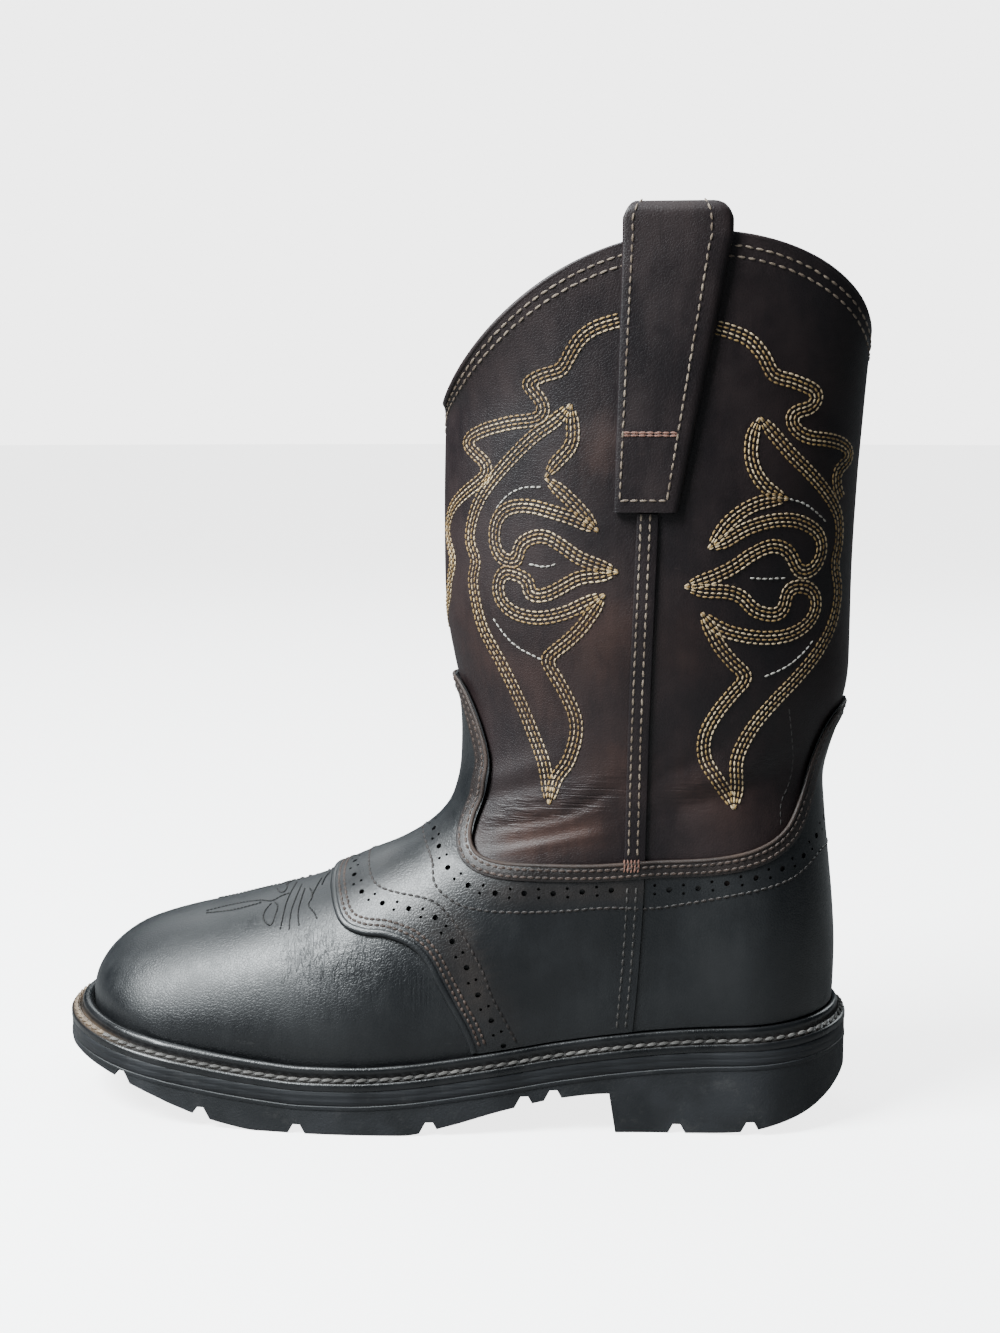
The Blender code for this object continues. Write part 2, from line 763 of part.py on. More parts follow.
def make_midsole(rubber):
    """Midsole: a slab under the welt whose middle fills the space inside the welt."""
    top, bottom = WELT_THICKNESS + GAP, WELT_THICKNESS + GAP + MIDSOLE_THICKNESS
    inside = -(WELT_INNER_REACH + GAP)
    loops = [
        layer(welt_reach(-LAYER_STEP), below_seat(bottom)),
        layer(welt_reach(-LAYER_STEP), below_seat(top)),
        layer(fixed_reach(inside), below_seat(top)),
        layer(fixed_reach(inside), below_seat(0.0)),
    ]
    return stacked_solid("midsole", loops, rubber)


def make_insole(lining):
    """Insole inside the upper, on the midsole and the welt's inner edge."""
    edge = -(WALL + INSOLE_CLEARANCE)
    low, high = -GAP, -(GAP + INSOLE_THICKNESS)
    loops = [
        layer(fixed_reach(edge), below_seat(low)),
        layer(fixed_reach(edge), below_seat(high + EDGE_CHAMFER)),
        layer(fixed_reach(edge - EDGE_CHAMFER), below_seat(high)),
    ]
    return stacked_solid("insole", loops, lining)


def make_outsole(rubber):
    """Outsole and heel in one moulding, cut away under the toe and the arch, with grooves between its lugs."""
    top = WELT_THICKNESS + MIDSOLE_THICKNESS + 2 * GAP
    loops = [
        layer(welt_reach(-LAYER_STEP), lambda x: np.zeros_like(x)),
        layer(welt_reach(-LAYER_STEP), below_seat(top + LIP_HEIGHT + LAYER_STEP)),
        layer(welt_reach(), below_seat(top + LIP_HEIGHT)),
        layer(welt_reach(), below_seat(top)),
    ]
    outsole = stacked_solid("outsole", loops, rubber)
    for name, line in underside_lines().items():
        cut(outsole, outline_cutter(name, line, -BALL_WIDTH, BALL_WIDTH), "DIFFERENCE")
    cut(outsole, groove_cutter("edge_grooves", edge_grooves()), "DIFFERENCE")
    cut(outsole, groove_cutter("tread_grooves", tread_grooves()), "DIFFERENCE")
    for place, (start, end) in LONG_GROOVES.items():
        for side in (OUTER, INNER):
            name = f"long_groove_{place}_{'inner' if side == INNER else 'outer'}"
            cut(outsole, long_groove(name, start, end, side), "DIFFERENCE")
    return outsole


def underside_lines():
    """Side outlines of what is cut away under the toe, the arch and the back of the heel."""
    below = -2 * LUG_DEPTH
    toe_end = TOE_X - BALL_WIDTH
    flat = [row[0] for row in SOLE_LINE if row[2] == 0]
    toe = [(x, float(tread(x))) for x in np.linspace(x_at(0), x_at(flat[0]), 10)]
    arch = [(x, float(tread(x))) for x in np.linspace(x_at(flat[-1]), x_at(HEEL_BREAST), 14)]
    strike_start, heel_end = x_at(HEEL_STRIKE[0][0]), x_at(1) + WELT_REACH_LIMIT
    strike = [(x, float(tread(x))) for x in np.linspace(strike_start, x_at(1), 8)]
    foot = (x_at(HEEL_BREAST) + BREAST_LEAN, below)
    return {
        "under_toe": [(toe_end, below), (toe_end, toe[0][1])] + toe + [(toe[-1][0], below)],
        "under_arch": [(arch[0][0], below)] + arch + [foot],
        "under_heel_back": [(strike_start, below)] + strike + [(heel_end, strike[-1][1]), (heel_end, below)],
    }


def edge_grooves():
    """Places of the notches in both edges: X, Y and length."""
    for along in EDGE_GROOVES:
        for side in (OUTER, INNER):
            edge = float(middle_of_sole(along)) + side * float(plan("half", along))
            yield float(x_at(along)), edge, 2 * LUG_REACH


def tread_grooves():
    """Places of the bars across the middle of the tread: X, Y and length."""
    for along in TREAD_GROOVES:
        yield float(x_at(along)), float(middle_of_sole(along)), TREAD_SHARE * float(plan("half", along))


def long_groove(name, start, end, side):
    """A groove along the foot, between the edge lugs and the bars in the middle."""
    loops = []
    for along in np.linspace(start, end, 9):
        x = float(x_at(along))
        y = float(middle_of_sole(along)) + side * (float(plan("half", along)) - LUG_REACH)
        mouth, top = LUG_GAP * GROOVE_MOUTH / 2, LUG_GAP * GROOVE_TOP / 2
        low, high = float(tread(x)) - LUG_DEPTH, float(tread(x)) + LUG_DEPTH
        loops.append([(x, y - mouth, low), (x, y + mouth, low), (x, y + top, high), (x, y - top, high)])
    count, last = 4, 4 * (len(loops) - 1)
    faces = grid_faces(len(loops), count, True) + [tuple(range(count)), tuple(range(last, last + count))]
    cutter = bpy.data.objects.new(name, mesh_of(name, np.concatenate(loops), faces))
    CUTTERS.objects.link(cutter)
    hide(cutter)
    return cutter


def groove_cutter(name, places):
    """Tapered bars along Y in one hidden mesh, each reaching LUG_DEPTH above the tread."""
    shape = bmesh.new()
    for x, y, length in places:
        made = bmesh.ops.create_cube(shape, size=1.0)["verts"]
        for vertex in made:
            wide = GROOVE_TOP if vertex.co.z > 0 else GROOVE_MOUTH
            across = vertex.co.x * LUG_GAP * wide
            up = float(tread(x)) + vertex.co.z * 2 * LUG_DEPTH
            vertex.co = Vector((x + across, y + vertex.co.y * length, up))
    mesh = bpy.data.meshes.new(name)
    shape.to_mesh(mesh)
    shape.free()
    cutter = bpy.data.objects.new(name, mesh)
    CUTTERS.objects.link(cutter)
    hide(cutter)
    return cutter


def material(name, colour, roughness, metallic=0.0):
    """A Principled material of one colour."""
    made = bpy.data.materials.new(name)
    made.use_nodes = True
    shader = made.node_tree.nodes["Principled BSDF"]
    shader.inputs["Base Color"].default_value = (*colour, 1.0)
    shader.inputs["Roughness"].default_value = roughness
    shader.inputs["Metallic"].default_value = metallic
    return made


def make_boot():
    """Builds every piece of the boot."""
    shaft_leather = material("shaft_leather", (0.030, 0.021, 0.018), 0.42)
    foot_leather = material("foot_leather", (0.035, 0.036, 0.038), 0.38)
    welt_rubber = material("welt_rubber", (0.020, 0.020, 0.022), 0.35)
    sole_rubber = material("sole_rubber", (0.030, 0.032, 0.036), 0.60)
    lining = material("lining", (0.180, 0.140, 0.100), 0.80)
    make_upper(shaft_leather)
    make_saddle(foot_leather)
    make_counter(foot_leather)
    for place, side in (("outer", OUTER), ("inner", INNER)):
        make_side_seam("side_seam_" + place, side, shaft_leather)
        make_pull_strap("pull_strap_" + place, side, shaft_leather)
    make_welt(welt_rubber)
    make_midsole(sole_rubber)
    make_outsole(sole_rubber)
    make_insole(lining)


for old in list(bpy.data.objects):
    bpy.data.objects.remove(old)
BOOT = bpy.data.collections.new("western_work_boot")
CUTTERS = bpy.data.collections.new("cutters")
for collection in (BOOT, CUTTERS):
    bpy.context.scene.collection.children.link(collection)
make_boot()
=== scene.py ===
import logging
import math
from dataclasses import dataclass, field
from enum import Enum
from typing import Callable

import bpy
import numpy as np
from mathutils import Matrix, Vector, noise
from mathutils.bvhtree import BVHTree


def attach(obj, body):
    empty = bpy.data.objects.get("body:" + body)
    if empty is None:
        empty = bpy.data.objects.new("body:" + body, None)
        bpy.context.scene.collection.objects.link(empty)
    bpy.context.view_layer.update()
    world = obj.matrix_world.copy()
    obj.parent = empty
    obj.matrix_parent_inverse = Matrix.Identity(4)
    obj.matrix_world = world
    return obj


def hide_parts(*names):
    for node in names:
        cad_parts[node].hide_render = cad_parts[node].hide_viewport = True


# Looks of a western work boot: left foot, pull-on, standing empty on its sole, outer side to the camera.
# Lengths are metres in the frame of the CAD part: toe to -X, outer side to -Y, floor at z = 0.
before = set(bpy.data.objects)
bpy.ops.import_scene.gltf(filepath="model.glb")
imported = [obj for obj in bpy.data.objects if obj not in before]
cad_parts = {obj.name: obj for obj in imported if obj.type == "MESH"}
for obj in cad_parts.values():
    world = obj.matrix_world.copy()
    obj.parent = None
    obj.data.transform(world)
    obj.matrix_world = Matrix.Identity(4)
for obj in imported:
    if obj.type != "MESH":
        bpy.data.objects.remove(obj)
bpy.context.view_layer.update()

BODY = "root"
MERGE = 1e-6
GAP = 0.0003
LOG = logging.getLogger("boot")
EDGE_PITCH = 0.0016
CURVE_STEPS = 12
Piece, Material, Socket = bpy.types.Object, bpy.types.Material, bpy.types.NodeSocket


class Side(Enum):
    """Side of the boot, as the sign of Y."""

    OUTER = -1
    INNER = 1


class Slot(Enum):
    """Material slots of the record."""

    SHAFT = "shaft_leather"
    FOOT = "foot_leather"
    WELT = "welt_rubber"
    SOLE = "sole_rubber"
    LINING = "lining"


def smooth(known: np.ndarray, values: np.ndarray, wanted: np.ndarray) -> np.ndarray:
    """Cubic interpolation through known points that doesn't overshoot them.

    Args:
        known: Rising places.
        values: Value at each place.
        wanted: Places to read.

    Returns:
        The value at each wanted place.
    """
    known, values = np.asarray(known, float), np.asarray(values, float)
    step = np.diff(known)
    slope = np.diff(values) / step
    tangent = np.zeros_like(values)
    tangent[0], tangent[-1] = slope[0], slope[-1]
    for i in range(1, len(known) - 1):
        if slope[i - 1] * slope[i] > 0:
            tangent[i] = 2 * slope[i - 1] * slope[i] / (slope[i - 1] + slope[i])
    wanted = np.clip(np.asarray(wanted, float), known[0], known[-1])
    i = np.clip(np.searchsorted(known, wanted, side="right") - 1, 0, len(step) - 1)
    t = (wanted - known[i]) / step[i]
    return (
        values[i] * (1 + 2 * t) * (1 - t) ** 2
        + tangent[i] * step[i] * t * (1 - t) ** 2
        + values[i + 1] * t**2 * (3 - 2 * t)
        + tangent[i + 1] * step[i] * t**2 * (t - 1)
    )


def ease(low: float, high: float, value: np.ndarray) -> np.ndarray:
    """0 below low, 1 above high, smooth between."""
    t = np.clip((np.asarray(value, float) - low) / (high - low), 0, 1)
    return t * t * (3 - 2 * t)


def at_lengths(line: np.ndarray, lengths: np.ndarray) -> np.ndarray:
    """Points of a line at given lengths from its start."""
    run = np.concatenate([[0], np.cumsum(np.linalg.norm(np.diff(line, axis=0), axis=1))])
    return np.stack([np.interp(lengths, run, line[:, i]) for i in range(line.shape[1])], axis=1)


def length_of(line: np.ndarray) -> float:
    """Length of a line of points."""
    return float(np.linalg.norm(np.diff(line, axis=0), axis=1).sum())


def evenly(line: np.ndarray, pitch: float) -> np.ndarray:
    """The same line with a point about every pitch."""
    length = length_of(line)
    return at_lengths(line, np.linspace(0, length, max(2, round(length / pitch) + 1)))


def curve_through(points: np.ndarray, count: int) -> np.ndarray:
    """Smooth curve through points, sampled evenly by the length of its first two columns.

    Args:
        points: Points in order, with two columns of place and any others.
        count: How many samples.

    Returns:
        The samples, with the same columns.
    """
    points = np.asarray(points, float)
    padded = np.vstack([2 * points[0] - points[1], points, 2 * points[-1] - points[-2]])
    dense = []
    for a, b, c, d in zip(padded, padded[1:], padded[2:], padded[3:]):
        for t in np.linspace(0, 1, CURVE_STEPS, endpoint=False):
            square, cube = 2 * a - 5 * b + 4 * c - d, 3 * b - a - 3 * c + d
            dense.append(0.5 * (2 * b + (c - a) * t + square * t**2 + cube * t**3))
    dense = np.array(dense + [points[-1]])
    run = np.concatenate([[0], np.cumsum(np.linalg.norm(np.diff(dense[:, :2], axis=0), axis=1))])
    wanted = np.linspace(0, run[-1], count)
    return np.stack([np.interp(wanted, run, dense[:, i]) for i in range(dense.shape[1])], axis=1)


def unit(vectors: np.ndarray) -> np.ndarray:
    """Vectors scaled to length 1."""
    return vectors / np.maximum(np.linalg.norm(vectors, axis=-1, keepdims=True), 1e-12)


def softened(values: np.ndarray, passes: int) -> np.ndarray:
    """Rows of values averaged with their neighbours a few times, with the ends kept."""
    for _ in range(passes):
        values = np.concatenate([values[:1], (values[:-2] + 2 * values[1:-1] + values[2:]) / 4, values[-1:]])
    return values


@dataclass(frozen=True)
class PhotoCamera:
    """The photograph's view: pixels of its 1000 x 1333 frame to rays and back."""

    place: tuple = (0.0988, -0.7712, 0.2716)
    target: tuple = (0.0181, -0.0034, 0.1713)
    focal_pixels: float = 2000.0
    width: int = 1000
    height: int = 1333
    sensor: float = 36.0

    def axes(self) -> tuple:
        """Forward, right and up directions of the view."""
        forward = (Vector(self.target) - Vector(self.place)).normalized()
        right = forward.cross(Vector((0, 0, 1))).normalized()
        return forward, right, right.cross(forward)

    def cast(self, pixels: tuple, tree: BVHTree, pitch: float = 4.0) -> np.ndarray:
        """Lays a smooth line of pixels on a surface.

        Args:
            pixels: Points of the line in the photograph.
            tree: Surface that the rays meet.
            pitch: Pixels between the rays.

        Returns:
            The points where the rays meet the surface.
        """
        forward, right, up = self.axes()
        line = np.asarray(pixels, float)
        dense = curve_through(line, max(3, round(length_of(line) / pitch))) if len(line) > 1 else line
        found = []
        for px, py in dense:
            ray = forward * self.focal_pixels + right * (px - self.width / 2) + up * (self.height / 2 - py)
            hit = tree.ray_cast(Vector(self.place), ray.normalized())[0]
            if hit is not None:
                found.append(tuple(hit))
        return np.array(found)

    def build(self) -> Piece:
        """Makes the scene's camera at the photograph's angle."""
        data = bpy.data.cameras.new("photo_camera")
        camera = bpy.data.objects.new("photo_camera", data)
        bpy.context.scene.collection.objects.link(camera)
        camera.location = self.place
        aim = Vector(self.target) - Vector(self.place)
        camera.rotation_euler = aim.to_track_quat("-Z", "Y").to_euler()
        data.sensor_width = self.sensor
        data.lens = self.focal_pixels * self.sensor / self.height
        data.clip_start = 0.01
        bpy.context.scene.camera = camera
        return camera


@dataclass(frozen=True)
class BootShape:
    """The CAD part's own shape, read at any point: its sole's outline, side outlines, widths and collar."""

    sole_length: float = 0.310
    ball_width: float = 0.100
    collar_height: float = 0.3320
    collar_overhang: float = 0.0046
    scallop_height: float = 0.0488
    shaft_width: float = 0.0900
    heel_height: float = 0.0385
    heel_middle: float = -0.034
    feather_tuck: float = 0.045
    tuck_height: float = 0.018
    turn_power: float = 2.1
    edge_samples: int = 160
    seat_follow_end: float = 0.30
    scallop_start: float = 0.60
    foot_top: float = 0.17
    shaft_start: float = 0.43
    scallop_powers: tuple = (1.55, 1.15)
    # Share of the length from the toe; half width, middle and welt reach in shares of the ball's width.
    plan_rows: tuple = (
        (0.000, 0.520, 0.085, 0.096), (0.100, 0.512, 0.072, 0.094), (0.200, 0.505, 0.046, 0.082),
        (0.330, 0.500, 0.006, 0.076), (0.450, 0.452, -0.040, 0.070), (0.560, 0.388, -0.058, 0.064),
        (0.660, 0.352, -0.040, 0.060), (0.780, 0.346, -0.010, 0.058), (0.880, 0.352, 0.000, 0.062),
        (1.000, 0.352, 0.000, 0.072),
    )
    # Share of the length; the welt's upper face and the underside in shares of the heel's height.
    sole_rows: tuple = (
        (0.000, 0.900, 0.560), (0.030, 0.866, 0.540), (0.060, 0.832, 0.495), (0.090, 0.792, 0.440),
        (0.120, 0.754, 0.370), (0.152, 0.716, 0.285), (0.183, 0.678, 0.195), (0.210, 0.645, 0.120),
        (0.243, 0.608, 0.050), (0.285, 0.572, 0.000), (0.340, 0.542, 0.000), (0.400, 0.545, 0.000),
        (0.463, 0.576, 0.000), (0.520, 0.630, 0.092), (0.584, 0.700, 0.235), (0.655, 0.785, 0.350),
        (0.710, 0.843, 0.392), (0.822, 0.928, 0.392), (0.900, 0.966, 0.392), (0.950, 1.005, 0.392),
        (1.000, 1.060, 0.392),
    )
    heel_breast: float = 0.7130
    breast_lean: float = 0.0034
    strike_rows: tuple = (
        (0.800, 0.000), (0.850, 0.015), (0.885, 0.045), (0.910, 0.090), (0.950, 0.195), (0.980, 0.335),
        (1.000, 0.480),
    )
    # Side outlines: share of the length, share of the height over the heel, rounding distance.
    front_rows: tuple = (
        (0.0330, -0.0131, 0.170), (0.0335, 0.0091, 0.170), (0.0400, 0.0328, 0.168), (0.0560, 0.0566, 0.166),
        (0.0830, 0.0787, 0.163), (0.1150, 0.0939, 0.160), (0.1600, 0.1092, 0.160), (0.2150, 0.1245, 0.164),
        (0.2940, 0.1494, 0.178), (0.3470, 0.1697, 0.192), (0.4010, 0.1952, 0.210), (0.4440, 0.2144, 0.224),
        (0.4815, 0.2393, 0.234), (0.5080, 0.2693, 0.238), (0.5210, 0.3055, 0.238), (0.5245, 0.3530, 0.238),
        (0.5220, 0.4073, 0.240), (0.5090, 0.4683, 0.243), (0.4990, 0.5362, 0.246), (0.4970, 0.6493, 0.248),
        (0.4985, 0.7398, 0.252), (0.5000, 0.7851, 0.256),
    )
    back_rows: tuple = (
        (0.9800, 0.0000, 0.112), (0.9825, 0.0385, 0.112), (0.9830, 0.0951, 0.114), (0.9795, 0.1516, 0.120),
        (0.9740, 0.2082, 0.134), (0.9675, 0.2760, 0.164), (0.9650, 0.3190, 0.190), (0.9720, 0.3552, 0.208),
        (0.9860, 0.4005, 0.226), (0.9960, 0.4457, 0.238), (0.9985, 0.5079, 0.244), (1.0000, 0.6041, 0.247),
        (1.0030, 0.6946, 0.250), (1.0075, 0.7851, 0.254), (1.0150, 0.8778, 0.256),
    )
    shaft_rows: tuple = (
        (0.04, 0.400), (0.16, 0.400), (0.28, 0.404), (0.39, 0.430), (0.55, 0.472), (0.72, 0.490),
        (1.00, 0.500),
    )
    # Ends of the ring zones as shares of the front and back outlines, and rings in each.
    ring_zones: tuple = ((0.090, 0.075, 14), (0.420, 0.250, 34), (0.640, 0.430, 32), (1.000, 1.000, 44))
    steps_a_side: int = 138
    ruled_rings: int = 14
    ruled_range: tuple = (0.62, 0.82)
    front: np.ndarray = field(default=None, repr=False)
    back: np.ndarray = field(default=None, repr=False)

    def __post_init__(self) -> None:
        """Reads both side outlines as dense points of X, Z and rounding distance."""
        for name, rows in (("front", self.front_rows), ("back", self.back_rows)):
            table = np.array(rows)
            points = np.column_stack([self.side_points(rows), table[:, 2] * self.sole_length])
            points[0, 1] = self.seat(points[0, 0])
            object.__setattr__(self, name, curve_through(points, self.edge_samples))

    def x_at(self, along: np.ndarray) -> np.ndarray:
        """X of a share of the sole's length, from the toe."""
        return -(self.sole_length + self.collar_overhang) / 2 + np.asarray(along) * self.sole_length

    def along_at(self, x: np.ndarray) -> np.ndarray:
        """Share of the sole's length at X."""
        return (np.asarray(x) + (self.sole_length + self.collar_overhang) / 2) / self.sole_length

    def z_at(self, up: np.ndarray) -> np.ndarray:
        """Z of a share of the way from the heel's height to the collar's."""
        return self.heel_height + np.asarray(up) * (self.collar_height - self.heel_height)

    def up_at(self, z: np.ndarray) -> np.ndarray:
        """Share of the way from the heel's height to the collar's at Z."""
        return (np.asarray(z) - self.heel_height) / (self.collar_height - self.heel_height)

    def side_points(self, rows: tuple) -> np.ndarray:
        """X and Z of rows of shares along the sole and up to the collar."""
        table = np.array(rows, float)
        return np.stack([self.x_at(table[:, 0]), self.z_at(table[:, 1])], axis=1)

    def plan(self, column: int, along: np.ndarray) -> np.ndarray:
        """A column of the plan in metres: 1 half width, 2 middle, 3 welt."""
        table = np.array(self.plan_rows)
        return self.ball_width * smooth(table[:, 0], table[:, column], along)

    def sole_line(self, column: int, along: np.ndarray) -> np.ndarray:
        """A column of the sole's heights in metres: 1 seat, 2 ground."""
        table = np.array(self.sole_rows)
        return self.heel_height * smooth(table[:, 0], table[:, column], along)

    def seat(self, x: np.ndarray) -> np.ndarray:
        """Height of the welt's upper face."""
        return self.sole_line(1, self.along_at(x))

    def tread(self, x: np.ndarray) -> np.ndarray:
        """Height of the underside: toe spring, ball, arch, then the heel with its rounded back."""
        along, table = self.along_at(x), np.array(self.strike_rows)
        strike = self.heel_height * smooth(table[:, 0], table[:, 1], along)
        breast = np.clip((along - self.heel_breast) * self.sole_length / self.breast_lean, 0, 1)
        return (1 - breast) * self.sole_line(2, along) + breast * strike

    def turn(self, x: np.ndarray, z: np.ndarray, edge: np.ndarray) -> np.ndarray:
        """How far the skin has turned from an outline: 0 on it, 1 on the flat of the side.

        Args:
            x: X of the points.
            z: Z of the points.
            edge: Dense outline with its rounding distance.

        Returns:
            One share for each point.
        """
        starts, way = edge[:-1], np.diff(edge[:, :2], axis=0)
        turned = np.empty(x.size)
        for part in np.array_split(np.arange(x.size), x.size // 8000 + 1):
            off = np.stack([x[part], z[part]], axis=1)[:, None, :] - starts[None, :, :2]
            share = np.clip((off * way).sum(axis=2) / (way * way).sum(axis=1), 0, 1)
            distance = np.linalg.norm(off - way * share[:, :, None], axis=2)
            near = distance.argmin(axis=1)
            row = np.arange(len(part))
            radius = starts[near, 2] + np.diff(edge[:, 2])[near] * share[row, near]
            depth = np.minimum(distance[row, near] / radius, 1)
            turned[part] = np.sqrt(np.maximum(0, 1 - (1 - depth) ** self.turn_power)) ** (2 / self.turn_power)
        return turned

    def middle(self, x: np.ndarray, z: np.ndarray) -> np.ndarray:
        """Y of the middle of the boot: the foot's curve, which fades out up the shaft."""
        foot_share = 1 - ease(self.foot_top, self.shaft_start, self.up_at(z))
        return self.heel_middle * self.ball_width + self.plan(2, self.along_at(x)) * foot_share

    def half_width(self, x: np.ndarray, z: np.ndarray) -> np.ndarray:
        """Half the width of the boot at places in the side view."""
        up, table = self.up_at(z), np.array(self.shaft_rows)
        shaft_share = ease(self.foot_top, self.shaft_start, up)
        tuck = 1 - self.feather_tuck * np.maximum(0, 1 - (z - self.seat(x)) / self.tuck_height) ** 2
        foot = self.plan(1, self.along_at(x)) * tuck
        shaft = self.shaft_width * smooth(table[:, 0], table[:, 1], up)
        flat = foot * (1 - shaft_share) + shaft * shaft_share
        return flat * self.turn(x, z, self.front) * self.turn(x, z, self.back)

    def on_side(self, x: np.ndarray, z: np.ndarray, side: Side) -> np.ndarray:
        """Points of the outer face at places in the side view."""
        x, z = np.asarray(x, float).ravel(), np.asarray(z, float).ravel()
        return np.stack([x, self.middle(x, z) + side.value * self.half_width(x, z), z], axis=1)

    def ring(self, front_share: float, back_share: float, steps: int) -> np.ndarray:
        """One closed ring, from the front round the outer side to the back and round the inner side.

        Args:
            front_share: Share of the front outline's length.
            back_share: Share of the back outline's length.
            steps: Steps on each side.

        Returns:
            The ring's points.
        """
        reads = []
        for edge, share in ((self.front, front_share), (self.back, back_share)):
            place = share * (len(edge) - 1)
            reads.append(np.array([np.interp(place, range(len(edge)), edge[:, i]) for i in (0, 1)]))
        front, back = reads
        angle = np.linspace(0, math.pi, steps + 1)
        share = (1 - np.cos(angle)) / 2
        x, z = (front[i] + (back[i] - front[i]) * share for i in (0, 1))
        follow = max(0.0, 1 - front_share / self.seat_follow_end) ** 2
        straight = self.seat(front[0]) + (self.seat(back[0]) - self.seat(front[0])) * share
        powers = self.scallop_powers[0] + (self.scallop_powers[1] - self.scallop_powers[0]) * share
        lift = self.scallop_height * float(ease(self.scallop_start, 1, front_share))
        z = z + follow * (self.seat(x) - straight) + lift * np.maximum(0, np.sin(angle)) ** powers
        middle, half = self.middle(x, z), self.half_width(x, z)
        half[0] = half[-1] = 0
        outer = np.stack([x, middle - half, z], axis=1)
        inner = np.stack([x, middle + half, z], axis=1)
        return np.concatenate([outer, inner[-2:0:-1]])

    def rings(self) -> np.ndarray:
        """All rings of the upper, from the feather edge to the collar."""
        front, back = [0.0], [0.0]
        for front_end, back_end, count in self.ring_zones:
            front.extend(np.linspace(front[-1], front_end, count + 1)[1:])
            back.extend(np.linspace(back[-1], back_end, count + 1)[1:])
        points = np.array([self.ring(f, b, self.steps_a_side) for f, b in zip(front, back)])
        points[:, :, 2] += GAP
        return self._ruled_back(points)

    def _ruled_back(self, points: np.ndarray) -> np.ndarray:
        """Rules the skin straight up to the collar round the back, where the rings would crowd.

        Args:
            points: Rings from the feather edge to the collar.

        Returns:
            The rings, with the last ones spread evenly round the back.
        """
        half, count = self.steps_a_side, self.ruled_rings
        outer = points[-count - 1 :, : half + 1]
        runs = []
        for ring in (outer[0], outer[-1]):
            run = np.concatenate([[0], np.cumsum(np.linalg.norm(np.diff(ring[:, :2], axis=0), axis=1))])
            runs.append(run / run[-1])
        share = ease(*self.ruled_range, np.linspace(0, 1, half + 1))
        wanted = runs[1] * (1 - share) + runs[0] * share
        rim = np.stack([np.interp(wanted, runs[1], outer[-1][:, i]) for i in range(3)], axis=1)
        for row, up in enumerate(np.linspace(0, 1, count + 1)):
            ruled = outer[0] + (rim - outer[0]) * up
            eased = outer[row] + (ruled - outer[row]) * share[:, None]
            if row == count:
                eased = rim
            inner = eased[-2:0:-1].copy()
            inner[:, 1] = 2 * self.middle(inner[:, 0], inner[:, 2]) - inner[:, 1]
            points[row - count - 1] = np.concatenate([eased, inner])
        return points

    def inside(self, x: np.ndarray, z: np.ndarray) -> np.ndarray:
        """Whether places in the side view lie between the front and back outlines."""
        front, back = (np.interp(z, edge[:, 1], edge[:, 0]) for edge in (self.front, self.back))
        return (x > front) & (x < back)


@dataclass(frozen=True)
class Fold:
    """One soft trough or ridge in the leather, along a line of the photograph."""

    pixels: tuple
    width: float
    depth: float


